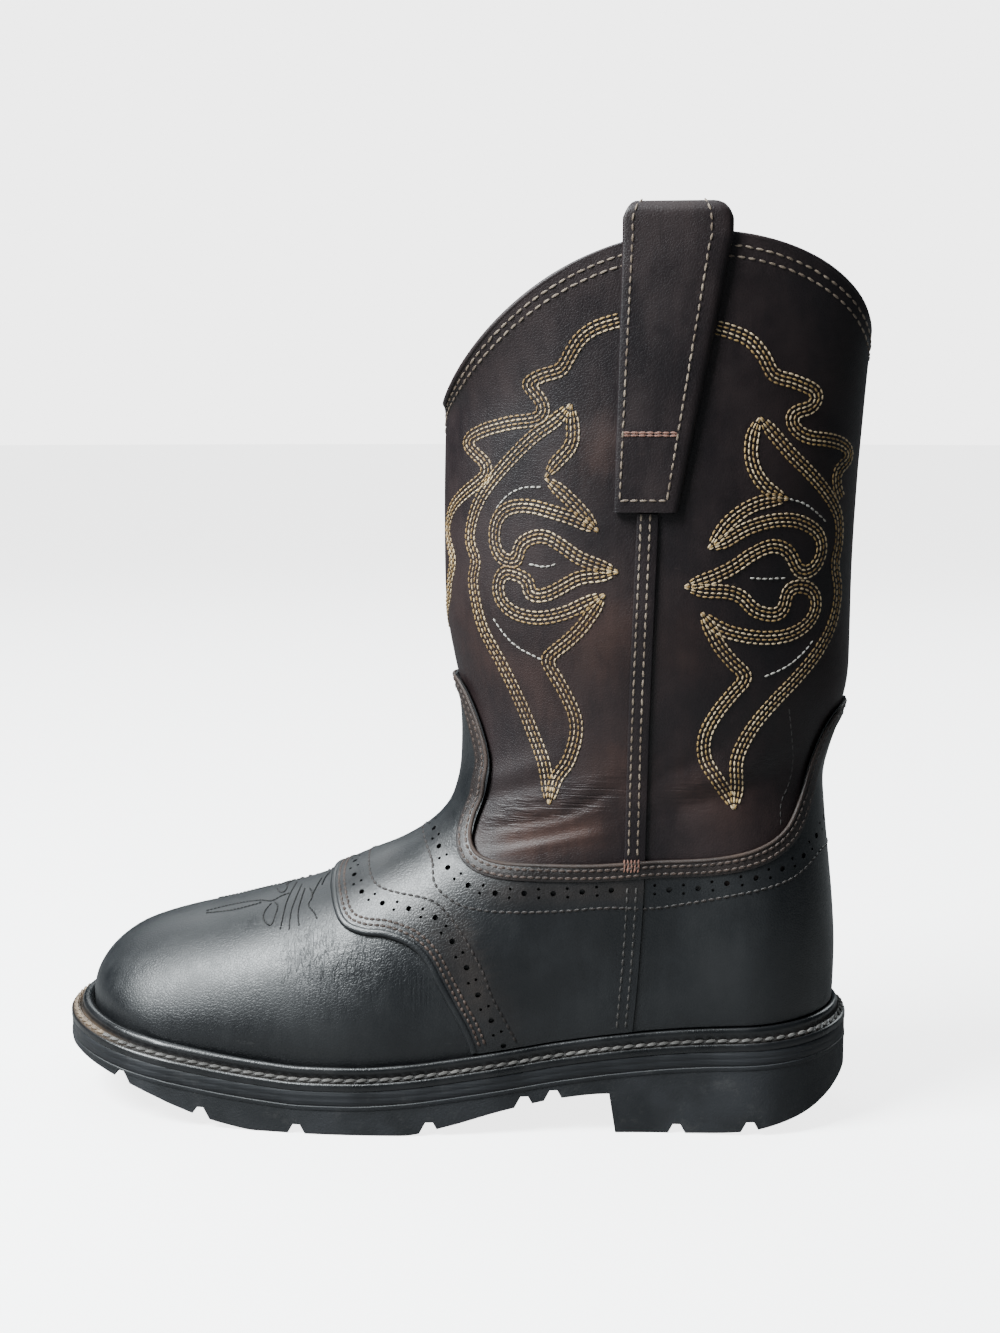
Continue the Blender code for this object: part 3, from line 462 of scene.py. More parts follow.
@dataclass
class LeatherSkin:
    """The upper's outer face with its creases, as a fine grid that every sewn piece lies on."""

    shape: BootShape
    camera: PhotoCamera
    sway: float = 0.00055
    sway_scale: float = 22.0
    # Troughs are negative, ridges positive.
    folds: tuple = (
        Fold(((474, 838), (505, 826), (545, 817), (590, 803), (628, 786)), 0.0042, -0.0005),
        Fold(((470, 822), (500, 810), (540, 800), (585, 786), (630, 768)), 0.0040, 0.0004),
        Fold(((470, 806), (498, 795), (530, 786), (566, 776)), 0.0034, -0.0005),
        Fold(((462, 786), (490, 779), (522, 770), (560, 756)), 0.0042, 0.0007),
        Fold(((660, 812), (700, 800), (742, 788), (790, 760)), 0.0046, -0.0009),
        Fold(((662, 796), (704, 784), (744, 768), (780, 744)), 0.0042, 0.0006),
        Fold(((668, 770), (706, 756), (740, 736)), 0.0040, -0.0005),
        Fold(((480, 846), (520, 840), (562, 832), (612, 820)), 0.0020, -0.00050),
        Fold(((479, 830), (515, 823), (555, 818), (588, 806), (622, 784)), 0.0013, -0.00034),
        Fold(((483, 821), (545, 811), (576, 799), (605, 774)), 0.0012, 0.00030),
        Fold(((487, 813), (520, 806), (548, 800), (580, 786)), 0.0012, -0.00030),
        Fold(((540, 826), (575, 817), (606, 803), (628, 792)), 0.0013, 0.00032),
        Fold(((500, 852), (540, 846), (580, 838), (616, 834)), 0.0015, 0.00030),
        Fold(((651, 760), (664, 752), (682, 742)), 0.0014, -0.00030),
        Fold(((650, 782), (672, 772), (700, 764)), 0.0014, -0.00030),
        Fold(((352, 932), (360, 950), (366, 972), (368, 992)), 0.0034, -0.0006),
        Fold(((318, 925), (326, 950), (338, 978), (352, 1000)), 0.0038, -0.0007),
        Fold(((292, 935), (302, 962), (318, 990)), 0.0040, -0.0005),
        Fold(((305, 930), (314, 956), (328, 984)), 0.0034, 0.0004),
        Fold(((432, 846), (452, 856), (470, 870)), 0.0030, -0.0004),
        Fold(((560, 935), (585, 962), (600, 1000)), 0.0060, -0.0005),
    )
    # Places whose colour is warmer: where the oil was pushed out of the leather at the folds and by the
    # stitched bands, and painted highlight where the front of the shaft is lit.
    warm_and_lit_places: tuple = (
        Fold(((480, 842), (520, 838), (570, 832), (622, 822)), 0.0090, 0.95),
        Fold(((600, 800), (618, 770), (628, 740)), 0.0100, 0.45),
        # The places on the shaft, away from the ankle folds, are painted highlight where the light falls.
        Fold(((600, 600), (610, 640), (606, 690)), 0.0150, 0.55),
        Fold(((590, 420), (600, 450), (604, 480)), 0.0110, 0.45),
        Fold(((520, 640), (545, 700), (548, 740)), 0.0100, 0.30),
        Fold(((688, 600), (690, 640), (684, 690)), 0.0120, 0.35),
        Fold(((672, 760), (700, 790), (760, 822)), 0.0100, 0.35),
        Fold(((470, 590), (480, 640), (500, 690)), 0.0090, 0.35),
        Fold(
            ((444, 850), (458, 880), (500, 893), (585, 891), (660, 888), (740, 880), (800, 858)), 0.0048, 0.75
        ),
        Fold(((390, 868), (410, 896), (442, 913), (465, 948), (496, 1020), (506, 1040)), 0.0052, 0.85),
        Fold(((352, 880), (368, 905), (410, 918), (440, 945), (470, 1000), (486, 1040)), 0.0030, 0.55),
    )
    # Fine wrinkles, across the ankle and down the vamp.
    across_places: tuple = (
        Fold(((474, 826), (520, 812), (580, 800), (632, 776)), 0.0062, 1.0),
        Fold(((656, 800), (700, 790), (745, 775), (790, 752)), 0.0060, 0.7),
        Fold(((452, 842), (470, 850)), 0.0040, 0.6),
    )
    down_places: tuple = (
        Fold(((290, 932), (296, 960), (304, 990)), 0.0062, 1.0),
        Fold(((312, 922), (322, 955), (332, 992)), 0.0060, 1.0),
        Fold(((356, 932), (364, 962), (372, 984)), 0.0050, 0.7),
        Fold(((404, 960), (420, 1000), (430, 1030)), 0.0050, 0.35),
    )
    points: np.ndarray = None
    normals: np.ndarray = None
    tree: BVHTree = None
    marks: dict = None

    def __post_init__(self) -> None:
        """Lays the plain surface, then presses the creases into it."""
        self._take(self.shape.rings())
        x, z = self.points[:, :, 0], self.points[:, :, 2]
        depth = np.zeros(x.shape)
        for fold in self.folds:
            depth += fold.depth * self._near(fold, x, z)
        self.marks = {}
        groups = (self.warm_and_lit_places, self.across_places, self.down_places)
        for name, places in zip(("warmth", "wrinkles_across", "wrinkles_down"), groups):
            self.marks[name] = sum(place.depth * self._near(place, x, z) for place in places)
        free = ease(0.006, 0.024, z - self.shape.seat(x)) * (1 - ease(0.90, 0.97, self.shape.up_at(z)))
        scale = self.sway_scale
        swayed = [noise.noise(Vector((p[0], p[1], p[2] * 0.8)) * scale) for p in self.points.reshape(-1, 3)]
        depth += self.sway * np.array(swayed).reshape(x.shape)
        self._take(self.points + self.normals * (depth * free)[:, :, None])

    def _take(self, points: np.ndarray) -> None:
        """Keeps a grid of points with its outward normals and its search tree."""
        self.points = points
        round_way = np.roll(points, -1, axis=1) - np.roll(points, 1, axis=1)
        self.normals = unit(np.cross(round_way, np.gradient(points, axis=0)))
        rows, columns = points.shape[:2]
        here = (np.arange(rows - 1)[:, None] * columns + np.arange(columns)).ravel()
        after = (np.arange(rows - 1)[:, None] * columns + (np.arange(columns) + 1) % columns).ravel()
        faces = np.stack([here, after, after + columns, here + columns], axis=1)
        self.tree = BVHTree.FromPolygons(points.reshape(-1, 3).tolist(), faces.tolist())

    def _near(self, fold: Fold, x: np.ndarray, z: np.ndarray) -> np.ndarray:
        """How near each place is to a fold, from 0 to 1, fading at the fold's ends."""
        line = self.camera.cast(fold.pixels, self.tree)[:, (0, 2)]
        starts, way = line[:-1], np.diff(line, axis=0)
        flat = np.stack([x.ravel(), z.ravel()], axis=1)
        best, place = np.full(len(flat), 1.0), np.zeros(len(flat))
        for i, (start, step) in enumerate(zip(starts, way)):
            share = np.clip(((flat - start) @ step) / (step @ step), 0, 1)
            distance = np.linalg.norm(flat - start - share[:, None] * step, axis=1)
            closer = distance < best
            best[closer], place[closer] = distance[closer], (i + share[closer]) / len(way)
        fade = ease(0, 0.3, place) * (1 - ease(0.7, 1, place))
        return (np.exp(-((best / fold.width) ** 2)) * (0.25 + 0.75 * fade)).reshape(x.shape)

    def settle(self, line: np.ndarray, height: float = 0.0) -> tuple:
        """Moves points to the nearest place on the skin.

        Args:
            line: Points near the skin.
            height: How far above the skin they end.

        Returns:
            The points, and the outward direction at each.
        """
        columns = self.points.shape[1]
        flat_points, flat_normals = self.points.reshape(-1, 3), self.normals.reshape(-1, 3)
        places, outward = [], []
        for point in line:
            hit, _, face, _ = self.tree.find_nearest(Vector(point))
            row, column = divmod(face, columns)
            after = (column + 1) % columns
            corners = np.array([row * columns + column, row * columns + after])
            corners = np.concatenate([corners, corners + columns])
            weight = 1 / (np.linalg.norm(flat_points[corners] - np.array(hit), axis=1) + 1e-5)
            outward.append((flat_normals[corners] * weight[:, None]).sum(axis=0))
            places.append(tuple(hit))
        outward = unit(np.array(outward))
        return np.array(places) + outward * height, outward

    def drawn(self, pixels: tuple) -> np.ndarray:
        """A line of the photograph laid on the outer side."""
        return self.camera.cast(pixels, self.tree)

    def mirrored(self, line: np.ndarray) -> np.ndarray:
        """The same line on the inner side."""
        other = line.copy()
        other[:, 1] = 2 * self.shape.middle(line[:, 0], line[:, 2]) - line[:, 1]
        return other

    def over_ridge(self, line: np.ndarray, back_too: bool = False) -> np.ndarray:
        """An outer line joined with its inner copy over the front, and round the back if wanted."""
        other = self.mirrored(line)
        joined = [other[::-1], line]
        if back_too:
            joined.append(other[-1:])
        return np.concatenate(joined)

    def wrap(self, rows: tuple, samples: int = 3000) -> np.ndarray:
        """A line of the side view laid on the outer side, from its first row to its last."""
        flat = curve_through(self.shape.side_points(rows), samples)
        flat = flat[self.shape.inside(flat[:, 0], flat[:, 1])]
        return self.shape.on_side(flat[:, 0], flat[:, 1], Side.OUTER)

    def mark(self, piece: Piece) -> None:
        """Stores the warm places, partly painted highlight, and the wrinkled places on a piece's points, from
        the nearest point of the grid.
        """
        columns = self.points.shape[1]
        faces = [self.tree.find_nearest(vertex.co)[2] for vertex in piece.data.vertices]
        rows, places = np.divmod(np.array(faces), columns)
        for name, values in self.marks.items():
            corners = (values[rows, places], values[rows + 1, places], values[rows, (places + 1) % columns])
            stored = piece.data.attributes.new(name, "FLOAT", "POINT")
            stored.data.foreach_set("value", np.clip(sum(corners) / 3, 0, 1).astype(np.float32))

    def below_collar(self, distance: float) -> np.ndarray:
        """Closed line round the shaft, a distance down the skin from the collar."""
        line = []
        for column in range(self.points.shape[1]):
            line.append(at_lengths(self.points[::-1, column], np.array([distance]))[0])
        return np.array(line + line[:1])


class Bench:
    """The mesh operators that every piece is made with."""

    @staticmethod
    def clear() -> None:
        """Deselects everything."""
        for each in bpy.context.selected_objects:
            each.select_set(False)

    @staticmethod
    def pick(piece: Piece) -> None:
        """Makes one piece the only one selected."""
        Bench.clear()
        piece.select_set(True)
        bpy.context.view_layer.objects.active = piece

    @staticmethod
    def tidy(piece: Piece) -> None:
        """Merges doubles and points the faces outwards."""
        Bench.pick(piece)
        bpy.ops.object.mode_set(mode="EDIT")
        bpy.ops.mesh.select_all(action="SELECT")
        bpy.ops.mesh.remove_doubles(threshold=MERGE)
        bpy.ops.mesh.dissolve_degenerate(threshold=MERGE)
        bpy.ops.mesh.normals_make_consistent(inside=False)
        bpy.ops.object.mode_set(mode="OBJECT")

    @staticmethod
    def sheet(name: str, points: np.ndarray, round_way: bool = False, closed_rows: bool = False) -> Piece:
        """A grid laid over points and sewn to itself where it closes.

        Args:
            name: The piece's name.
            points: Rows of points.
            round_way: Whether each row closes on itself.
            closed_rows: Whether the last row meets the first.

        Returns:
            The piece.
        """
        laid = np.concatenate([points, points[:, :1]], axis=1) if round_way else points
        laid = np.concatenate([laid, laid[:1]], axis=0) if closed_rows else laid
        rows, columns = laid.shape[:2]
        Bench.clear()
        steps = {"x_subdivisions": columns - 1, "y_subdivisions": rows - 1}
        bpy.ops.mesh.primitive_grid_add(**steps, size=1, location=(0, 0, 0))
        piece = bpy.context.object
        piece.name = piece.data.name = name
        flat = np.empty(len(piece.data.vertices) * 3)
        piece.data.vertices.foreach_get("co", flat)
        share = flat.reshape(-1, 3)[:, :2] + 0.5
        u = np.rint(share[:, 0] * (columns - 1)).astype(int)
        v = np.rint(share[:, 1] * (rows - 1)).astype(int)
        piece.data.vertices.foreach_set("co", laid[v, u].ravel())
        piece.data.update()
        Bench.tidy(piece)
        return piece

    @staticmethod
    def apply(piece: Piece, kind: str, **settings) -> None:
        """Adds a modifier with settings and applies it."""
        Bench.pick(piece)
        bpy.ops.object.modifier_add(type=kind)
        modifier = piece.modifiers[-1]
        for key, value in settings.items():
            setattr(modifier, key, value)
        bpy.ops.object.modifier_apply(modifier=modifier.name)

    @staticmethod
    def face_along(piece: Piece, point: np.ndarray, outward: np.ndarray) -> None:
        """Turns an open sheet over if its face nearest to a point looks away from a direction."""
        nearest = min(piece.data.polygons, key=lambda face: (face.center - Vector(point)).length)
        if nearest.normal.dot(Vector(outward)) < 0:
            Bench.pick(piece)
            bpy.ops.object.mode_set(mode="EDIT")
            bpy.ops.mesh.select_all(action="SELECT")
            bpy.ops.mesh.flip_normals()
            bpy.ops.object.mode_set(mode="OBJECT")

    @staticmethod
    def block(name: str, outline: np.ndarray, low: float, high: float) -> Piece:
        """A side-view outline made into a block between two Y values.

        Args:
            name: Name of the block.
            outline: X and Z of its corners.
            low: Lower Y.
            high: Upper Y.

        Returns:
            The block.
        """
        Bench.clear()
        count = len(outline)
        bpy.ops.mesh.primitive_circle_add(vertices=count, radius=1, fill_type="NGON", location=(0, 0, 0))
        block = bpy.context.object
        block.name = name
        for vertex, (x, z) in zip(block.data.vertices, outline):
            vertex.co = (x, low, z)
        bpy.ops.object.mode_set(mode="EDIT")
        bpy.ops.mesh.select_all(action="SELECT")
        bpy.ops.mesh.extrude_region_move(TRANSFORM_OT_translate={"value": (0, high - low, 0)})
        bpy.ops.object.mode_set(mode="OBJECT")
        Bench.tidy(block)
        return block

    @staticmethod
    def carve(piece: Piece, cutter: Piece, operation: str) -> None:
        """Cuts a piece with another, which is then removed."""
        Bench.apply(piece, "BOOLEAN", operation=operation, object=cutter, solver="EXACT")
        bpy.data.objects.remove(cutter)

    @staticmethod
    def finish(piece: Piece, finishes: list, slot: Slot, nodes: tuple = (), angle: float = 38) -> None:
        """Shades a piece, gives it its finishes and ties it to the CAD part.

        Args:
            piece: The finished mesh.
            finishes: Its materials, in the order of its face indices.
            slot: The record's slot; not used.
            nodes: CAD nodes that it stands for.
            angle: Sharpest angle in degrees that is shaded smooth.
        """
        Bench.pick(piece)
        bpy.ops.object.shade_smooth_by_angle(angle=math.radians(angle))
        piece.data.materials.clear()
        for finish in finishes:
            piece.data.materials.append(finish)
        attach(piece, BODY)
        if nodes:
            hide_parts(*nodes)
        piece.data.calc_loop_triangles()
        LOG.info("%s: %d triangles", piece.name, len(piece.data.loop_triangles))

    @staticmethod
    def swept(
        name: str, line: np.ndarray, outward: np.ndarray, profile: tuple, loop: bool = False
    ) -> Piece:
        """A closed profile carried along a line on the skin.

        Args:
            name: The piece's name.
            line: Points of the line.
            outward: Outward direction at each.
            profile: Corners of the profile: across the line, and up from the skin.
            loop: Whether the line closes on itself.

        Returns:
            The piece.
        """
        ahead = np.roll(line, -1, axis=0) - np.roll(line, 1, axis=0) if loop else np.gradient(line, axis=0)
        across = unit(np.cross(outward, unit(ahead)))
        corners = np.array(profile)
        aside, up = corners[None, :, :1], corners[None, :, 1:]
        rows = line[:, None] + across[:, None] * aside + outward[:, None] * up
        if not loop:
            ends = [np.repeat(rows[i].mean(axis=0)[None], len(corners), axis=0) for i in (0, -1)]
            rows = np.concatenate([ends[0][None], rows, ends[1][None]])
        return Bench.sheet(name, rows, round_way=True, closed_rows=loop)

    @staticmethod
    def repeated(name: str, model: tuple, places: np.ndarray, axes: np.ndarray) -> Piece:
        """Many copies of one modelled shape joined in one mesh.

        Args:
            name: The piece's name.
            model: Vertices and faces of the shape.
            places: Where each copy goes.
            axes: Three axes of each copy, whose lengths scale it.

        Returns:
            The joined piece.
        """
        vertices, faces = model
        points = np.einsum("vk,nkd->nvd", vertices, axes) + places[:, None]
        mesh = bpy.data.meshes.new(name)
        count = len(vertices)
        joined = [tuple(i + count * copy for i in face) for copy in range(len(places)) for face in faces]
        mesh.from_pydata(points.reshape(-1, 3).tolist(), [], joined)
        piece = bpy.data.objects.new(name, mesh)
        bpy.context.scene.collection.objects.link(piece)
        return piece

    @staticmethod
    def taken(piece: Piece) -> tuple:
        """Vertices and faces of a modelled shape, which is then removed."""
        vertices = np.array([tuple(v.co) for v in piece.data.vertices])
        faces = [tuple(p.vertices) for p in piece.data.polygons]
        bpy.data.objects.remove(piece)
        return vertices, faces


@dataclass
class NodeBoard:
    """Adds and links the nodes of one tree."""

    tree: bpy.types.NodeTree

    def add(self, kind: str, inputs: dict = None, **settings: object) -> bpy.types.Node:
        """Adds a node.

        Args:
            kind: Its type after "ShaderNode".
            inputs: Values or sockets for its inputs, by name or number.
            settings: Its own settings.

        Returns:
            The node.
        """
        node = self.tree.nodes.new("ShaderNode" + kind)
        for key, value in settings.items():
            setattr(node, key, value)
        self.fill(node, inputs or {})
        return node

    def fill(self, node: bpy.types.Node, inputs: dict) -> None:
        """Links a node's inputs to sockets, or sets them to values, by name or number."""
        for key, value in inputs.items():
            if isinstance(value, Socket):
                self.tree.links.new(value, node.inputs[key])
            else:
                node.inputs[key].default_value = value

    def group(self, tree: bpy.types.NodeTree, **inputs: object) -> object:
        """The outputs of a shared group."""
        return self.add("Group", inputs, node_tree=tree).outputs

    def mark(self, name: str) -> Socket:
        """A value stored on the piece's points."""
        return self.add("Attribute", attribute_name=name).outputs["Fac"]

    def place(self) -> Socket:
        """The place on the piece, in metres."""
        return self.add("TexCoord").outputs["Object"]

    def noise(self, place: Socket, scale: object, detail: float, **more: float) -> Socket:
        """The value of a noise texture."""
        return self.add("TexNoise", {"Vector": place, "Scale": scale, "Detail": detail, **more}).outputs[0]

    def ramp(
        self, value: Socket, low: float, high: float, out_low: float = 0.0, out_high: float = 1.0
    ) -> Socket:
        """A value carried smoothly from one range to another."""
        ends = {"From Min": low, "From Max": high, "To Min": out_low, "To Max": out_high}
        node = self.add("MapRange", {"Value": value, **ends}, interpolation_type="SMOOTHSTEP")
        return node.outputs["Result"]

    def mix(self, share: object, first: object, second: object) -> Socket:
        """A colour between two, which are sockets or plain colours."""
        first, second = (each if isinstance(each, Socket) else (*each, 1.0) for each in (first, second))
        return self.add("Mix", {0: share, 6: first, 7: second}, data_type="RGBA").outputs[2]

    def plus(self, first: object, second: object) -> Socket:
        """Two values added."""
        return self.add("Math", {0: first, 1: second}, operation="ADD").outputs[0]

    def times(self, first: object, second: object) -> Socket:
        """Two values multiplied."""
        return self.add("Math", {0: first, 1: second}, operation="MULTIPLY").outputs[0]

    def bump(self, height: Socket, depth: float, strength: float = 1.0) -> Socket:
        """A normal raised by a height."""
        return self.add("Bump", {"Height": height, "Strength": strength, "Distance": depth}).outputs[0]


class SharedEffects:
    """Node groups that more than one finish uses."""

    def __init__(self) -> None:
        """Builds every group once."""
        self.grain = self._group("leather_grain", ("Scale",), ("Height", "Pores"), self._grain)
        self.blotch = self._group("pull_up_blotches", ("Scale",), ("Mask",), self._blotch)
        self.scuff = self._group("scuff_marks", ("Scale", "Amount"), ("Mask",), self._scuff)
        self.dust = self._group("dust", ("Scale", "Amount"), ("Mask",), self._dust)
        self.wrinkle = self._group("fine_wrinkles", ("Across", "Down"), ("Height",), self._wrinkle)

    @staticmethod
    def _group(name: str, inputs: tuple, outputs: tuple, fill: Callable) -> bpy.types.NodeTree:
        """Makes a node group.

        Args:
            name: Its name.
            inputs: Names of its inputs.
            outputs: Names of its outputs.
            fill: Gives the outputs' values from the group's board, the place and the inputs' sockets.

        Returns:
            The group.
        """
        tree = bpy.data.node_groups.new(name, "ShaderNodeTree")
        for names, way in ((inputs, "INPUT"), (outputs, "OUTPUT")):
            for each in names:
                tree.interface.new_socket(name=each, in_out=way, socket_type="NodeSocketFloat")
        board = NodeBoard(tree)
        start, end = tree.nodes.new("NodeGroupInput"), tree.nodes.new("NodeGroupOutput")
        for each, value in zip(outputs, fill(board, board.place(), start.outputs)):
            tree.links.new(value, end.inputs[each])
        return tree

    @staticmethod
    def _grain(board: NodeBoard, place: Socket, given: object) -> tuple:
        """Fine cells with smooth valleys, broken up by noise: their height, and pores."""
        warp = board.add("TexNoise", {"Vector": place, "Scale": 260.0, "Detail": 2.0}).outputs["Color"]
        bent = board.add("VectorMath", {0: warp, "Scale": 0.0012}, operation="SCALE").outputs[0]
        moved = board.add("VectorMath", {0: place, 1: bent}, operation="ADD").outputs[0]
        spread = {"Vector": moved, "Scale": given["Scale"]}
        cells = board.add("TexVoronoi", spread, feature="DISTANCE_TO_EDGE")
        valley = board.ramp(cells.outputs["Distance"], 0.0, 0.22)
        fine = board.noise(place, 3200.0, 3.0)
        return board.plus(board.times(valley, 0.7), board.times(fine, 0.3)), board.ramp(fine, 0.62, 0.75)

    @staticmethod
    def _blotch(board: NodeBoard, place: Socket, given: object) -> tuple:
        """Wide soft patches with a finer break-up, as oiled leather shows where it was bent."""
        wide = board.noise(place, given["Scale"], 4.0, Roughness=0.62)
        streak = board.add("Mapping", {"Vector": place, "Scale": (1.0, 1.0, 0.25)}).outputs[0]
        fine = board.noise(streak, 140.0, 5.0, Roughness=0.7)
        return (board.ramp(board.plus(board.times(wide, 0.72), board.times(fine, 0.28)), 0.36, 0.66),)

    @staticmethod
    def _scuff(board: NodeBoard, place: Socket, given: object) -> tuple:
        """Short thin scratches where a second noise lets them show."""
        turn = {"Rotation": (0.4, 0.5, 0.2), "Scale": (0.16, 1.0, 1.0)}
        turned = board.add("Mapping", {"Vector": place, **turn}).outputs[0]
        thin = board.ramp(board.noise(turned, given["Scale"], 6.0, Roughness=0.7), 0.64, 0.70)
        shown = board.ramp(board.noise(place, 21.0, 2.0), 0.50, 0.66)
        return (board.times(board.times(thin, shown), given["Amount"]),)

    @staticmethod
    def _wrinkle(board: NodeBoard, place: Socket, given: object) -> tuple:
        """Fine parallel wrinkles, across the ankle and down the vamp, where the piece is marked."""
        heights = []
        ways = (("Across", (0, 0.30, 0), (0.05, 0.4, 1.0)), ("Down", (0, 0.22, 0), (1.0, 0.4, 0.07)))
        for name, turn, stretch in ways:
            drawn = board.add("Mapping", {"Vector": place, "Rotation": turn, "Scale": stretch}).outputs[0]
            ridged = board.ramp(board.noise(drawn, 700.0, 2.0, Distortion=0.4), 0.42, 0.58)
            heights.append(board.times(ridged, given[name]))
        return (board.plus(*heights),)

    @staticmethod
    def _dust(board: NodeBoard, place: Socket, given: object) -> tuple:
        """Fine pale specks."""
        specks = board.noise(place, given["Scale"], 8.0, Roughness=0.8)
        return (board.times(board.ramp(specks, 0.52, 0.74), given["Amount"]),)


@dataclass(frozen=True)
class Finish:
    """What every finish has: a name, and a shader fed by inputs of its own."""

    name: str

    def build(self, shared: SharedEffects) -> Material:
        """Makes the material.

        Args:
            shared: The shared node groups.

        Returns:
            The material.
        """
        material = bpy.data.materials.new(self.name)
        material.use_nodes = True
        board = NodeBoard(material.node_tree)
        board.fill(material.node_tree.nodes["Principled BSDF"], self.inputs(board, shared))
        return material

    def inputs(self, board: NodeBoard, shared: SharedEffects) -> dict:
        """Gives the shader's inputs.

        Args:
            board: The material's nodes.
            shared: The shared node groups.

        Returns:
            Sockets or values, by the input's name.
        """
        raise NotImplementedError


@dataclass(frozen=True)
class LeatherFinish(Finish):
    """Oiled leather: grain, wide colour patches, scuffs, and a warm tint where the skin is creased and, as
    painted highlight, where the shaft is lit.
    """

    dark: tuple
    light: tuple
    # Colour of the warm places: pull-up at the folds, and painted highlight on the lit shaft.
    pull_up_and_highlight_tint: tuple
    worn: tuple
    roughness: tuple = (0.34, 0.52)
    grain_scale: float = 900.0
    grain_depth: float = 0.00006
    patch_scale: float = 16.0
    scuffs: float = 0.5
    scuff_scale: float = 420.0
    wrinkle_height: float = 3.4
    coat: float = 0.12
    coat_roughness: float = 0.38
    specular: float = 0.5

    def inputs(self, board: NodeBoard, shared: SharedEffects) -> dict:
        """The shader's inputs for leather."""
        grain = board.group(shared.grain, Scale=self.grain_scale)
        patches = board.group(shared.blotch, Scale=self.patch_scale)["Mask"]
        scuffs = board.group(shared.scuff, Scale=self.scuff_scale, Amount=self.scuffs)["Mask"]
        across, down = board.mark("wrinkles_across"), board.mark("wrinkles_down")
        wrinkles = board.group(shared.wrinkle, Across=across, Down=down)["Height"]
        # Warm tint at the marked places: pull-up at the folds, and painted highlight where the shaft is lit.
        warm = board.times(board.mark("warmth"), board.ramp(patches, 0.0, 0.8, 0.45, 1.0))
        colour = board.mix(warm, board.mix(patches, self.dark, self.light), self.pull_up_and_highlight_tint)
        rough = board.ramp(patches, 0.0, 1.0, *self.roughness)
        height = board.plus(grain["Height"], board.times(wrinkles, self.wrinkle_height))
        return {
            "Base Color": board.mix(scuffs, colour, self.worn),
            "Roughness": board.plus(rough, board.times(scuffs, 0.2)),
            "Normal": board.bump(height, self.grain_depth),
            "Coat Weight": self.coat,
            "Coat Roughness": self.coat_roughness,
            "Specular IOR Level": self.specular,
        }


@dataclass(frozen=True)
class RubberFinish(Finish):
    """Moulded rubber: fine speckle, faint flow lines, dust, and pale places where it is worn."""

    dark: tuple
    light: tuple
    roughness: tuple = (0.45, 0.62)
    line_scale: float = 0.0
    bump_depth: float = 0.00012
    dusty: float = 0.25
    dust_scale: float = 90.0
    dust_colour: tuple = (0.16, 0.15, 0.14)
    worn_colour: tuple = (0.085, 0.058, 0.038)
    coat: float = 0.0
    coat_roughness: float = 0.25

    def inputs(self, board: NodeBoard, shared: SharedEffects) -> dict:
        """The shader's inputs for rubber."""
        place = board.place()
        mottle, height = board.noise(place, 55.0, 5.0), board.noise(place, 1500.0, 3.0)
        dust = board.group(shared.dust, Scale=self.dust_scale, Amount=self.dusty)["Mask"]
        if self.line_scale:
            flow = {"Scale": self.line_scale, "Distortion": 1.2, "Detail": 1.0, "Detail Scale": 2.0}
            lines = board.add("TexWave", {"Vector": place, **flow}, bands_direction="Z").outputs["Fac"]
            height = board.plus(board.times(height, 0.4), board.times(lines, 0.6))
        colour = board.mix(board.ramp(mottle, 0.35, 0.65), self.dark, self.light)
        pale = board.times(board.mark("paleness"), board.ramp(mottle, 0.30, 0.62, 0.25, 1.0))
        return {
            "Base Color": board.mix(pale, board.mix(dust, colour, self.dust_colour), self.worn_colour),
            "Roughness": board.ramp(mottle, 0.3, 0.7, *self.roughness),
            "Normal": board.bump(height, self.bump_depth),
            "Coat Weight": self.coat,
            "Coat Roughness": self.coat_roughness,
        }


@dataclass(frozen=True)
class ThreadFinish(Finish):
    """Twisted thread, with some stitches duller than others, and painted shade in the grooves of the twist.
    """

    bright: tuple
    dull: tuple
    roughness: float = 0.5
    patch_scale: float = 60.0
    twist_scale: float = 900.0
    twist_depth: float = 0.00012

    def inputs(self, board: NodeBoard, shared: SharedEffects) -> dict:
        """The shader's inputs for thread."""
        patches = board.group(shared.blotch, Scale=self.patch_scale)["Mask"]
        wave = {"Vector": board.place(), "Scale": self.twist_scale, "Distortion": 2.0}
        twist = board.add("TexWave", wave, bands_direction="DIAGONAL").outputs["Fac"]
        colour = board.mix(patches, self.dull, self.bright)
        return {
            # The grooves of the twist are painted darker, towards the dull colour: painted shade.
            "Base Color": board.mix(board.ramp(twist, 0.0, 0.5, 0.45, 0.0), colour, self.dull),
            "Roughness": self.roughness,
            "Normal": board.bump(twist, self.twist_depth, 0.8),
        }


@dataclass(frozen=True)
class LiningFinish(Finish):
    """Napped lining leather."""

    dark: tuple
    light: tuple
    grain_scale: float = 1500.0
    grain_depth: float = 0.00025
    patch_scale: float = 30.0
    roughness: tuple = (0.78, 0.90)
    sheen: float = 0.25

    def inputs(self, board: NodeBoard, shared: SharedEffects) -> dict:
        """The shader's inputs for the lining."""
        grain = board.group(shared.grain, Scale=self.grain_scale)
        patches = board.group(shared.blotch, Scale=self.patch_scale)["Mask"]
        return {
            "Base Color": board.mix(grain["Pores"], board.mix(patches, self.dark, self.light), self.dark),
            "Roughness": board.ramp(patches, 0.0, 1.0, *self.roughness),
            "Normal": board.bump(grain["Height"], self.grain_depth),
            "Sheen Weight": self.sheen,
        }


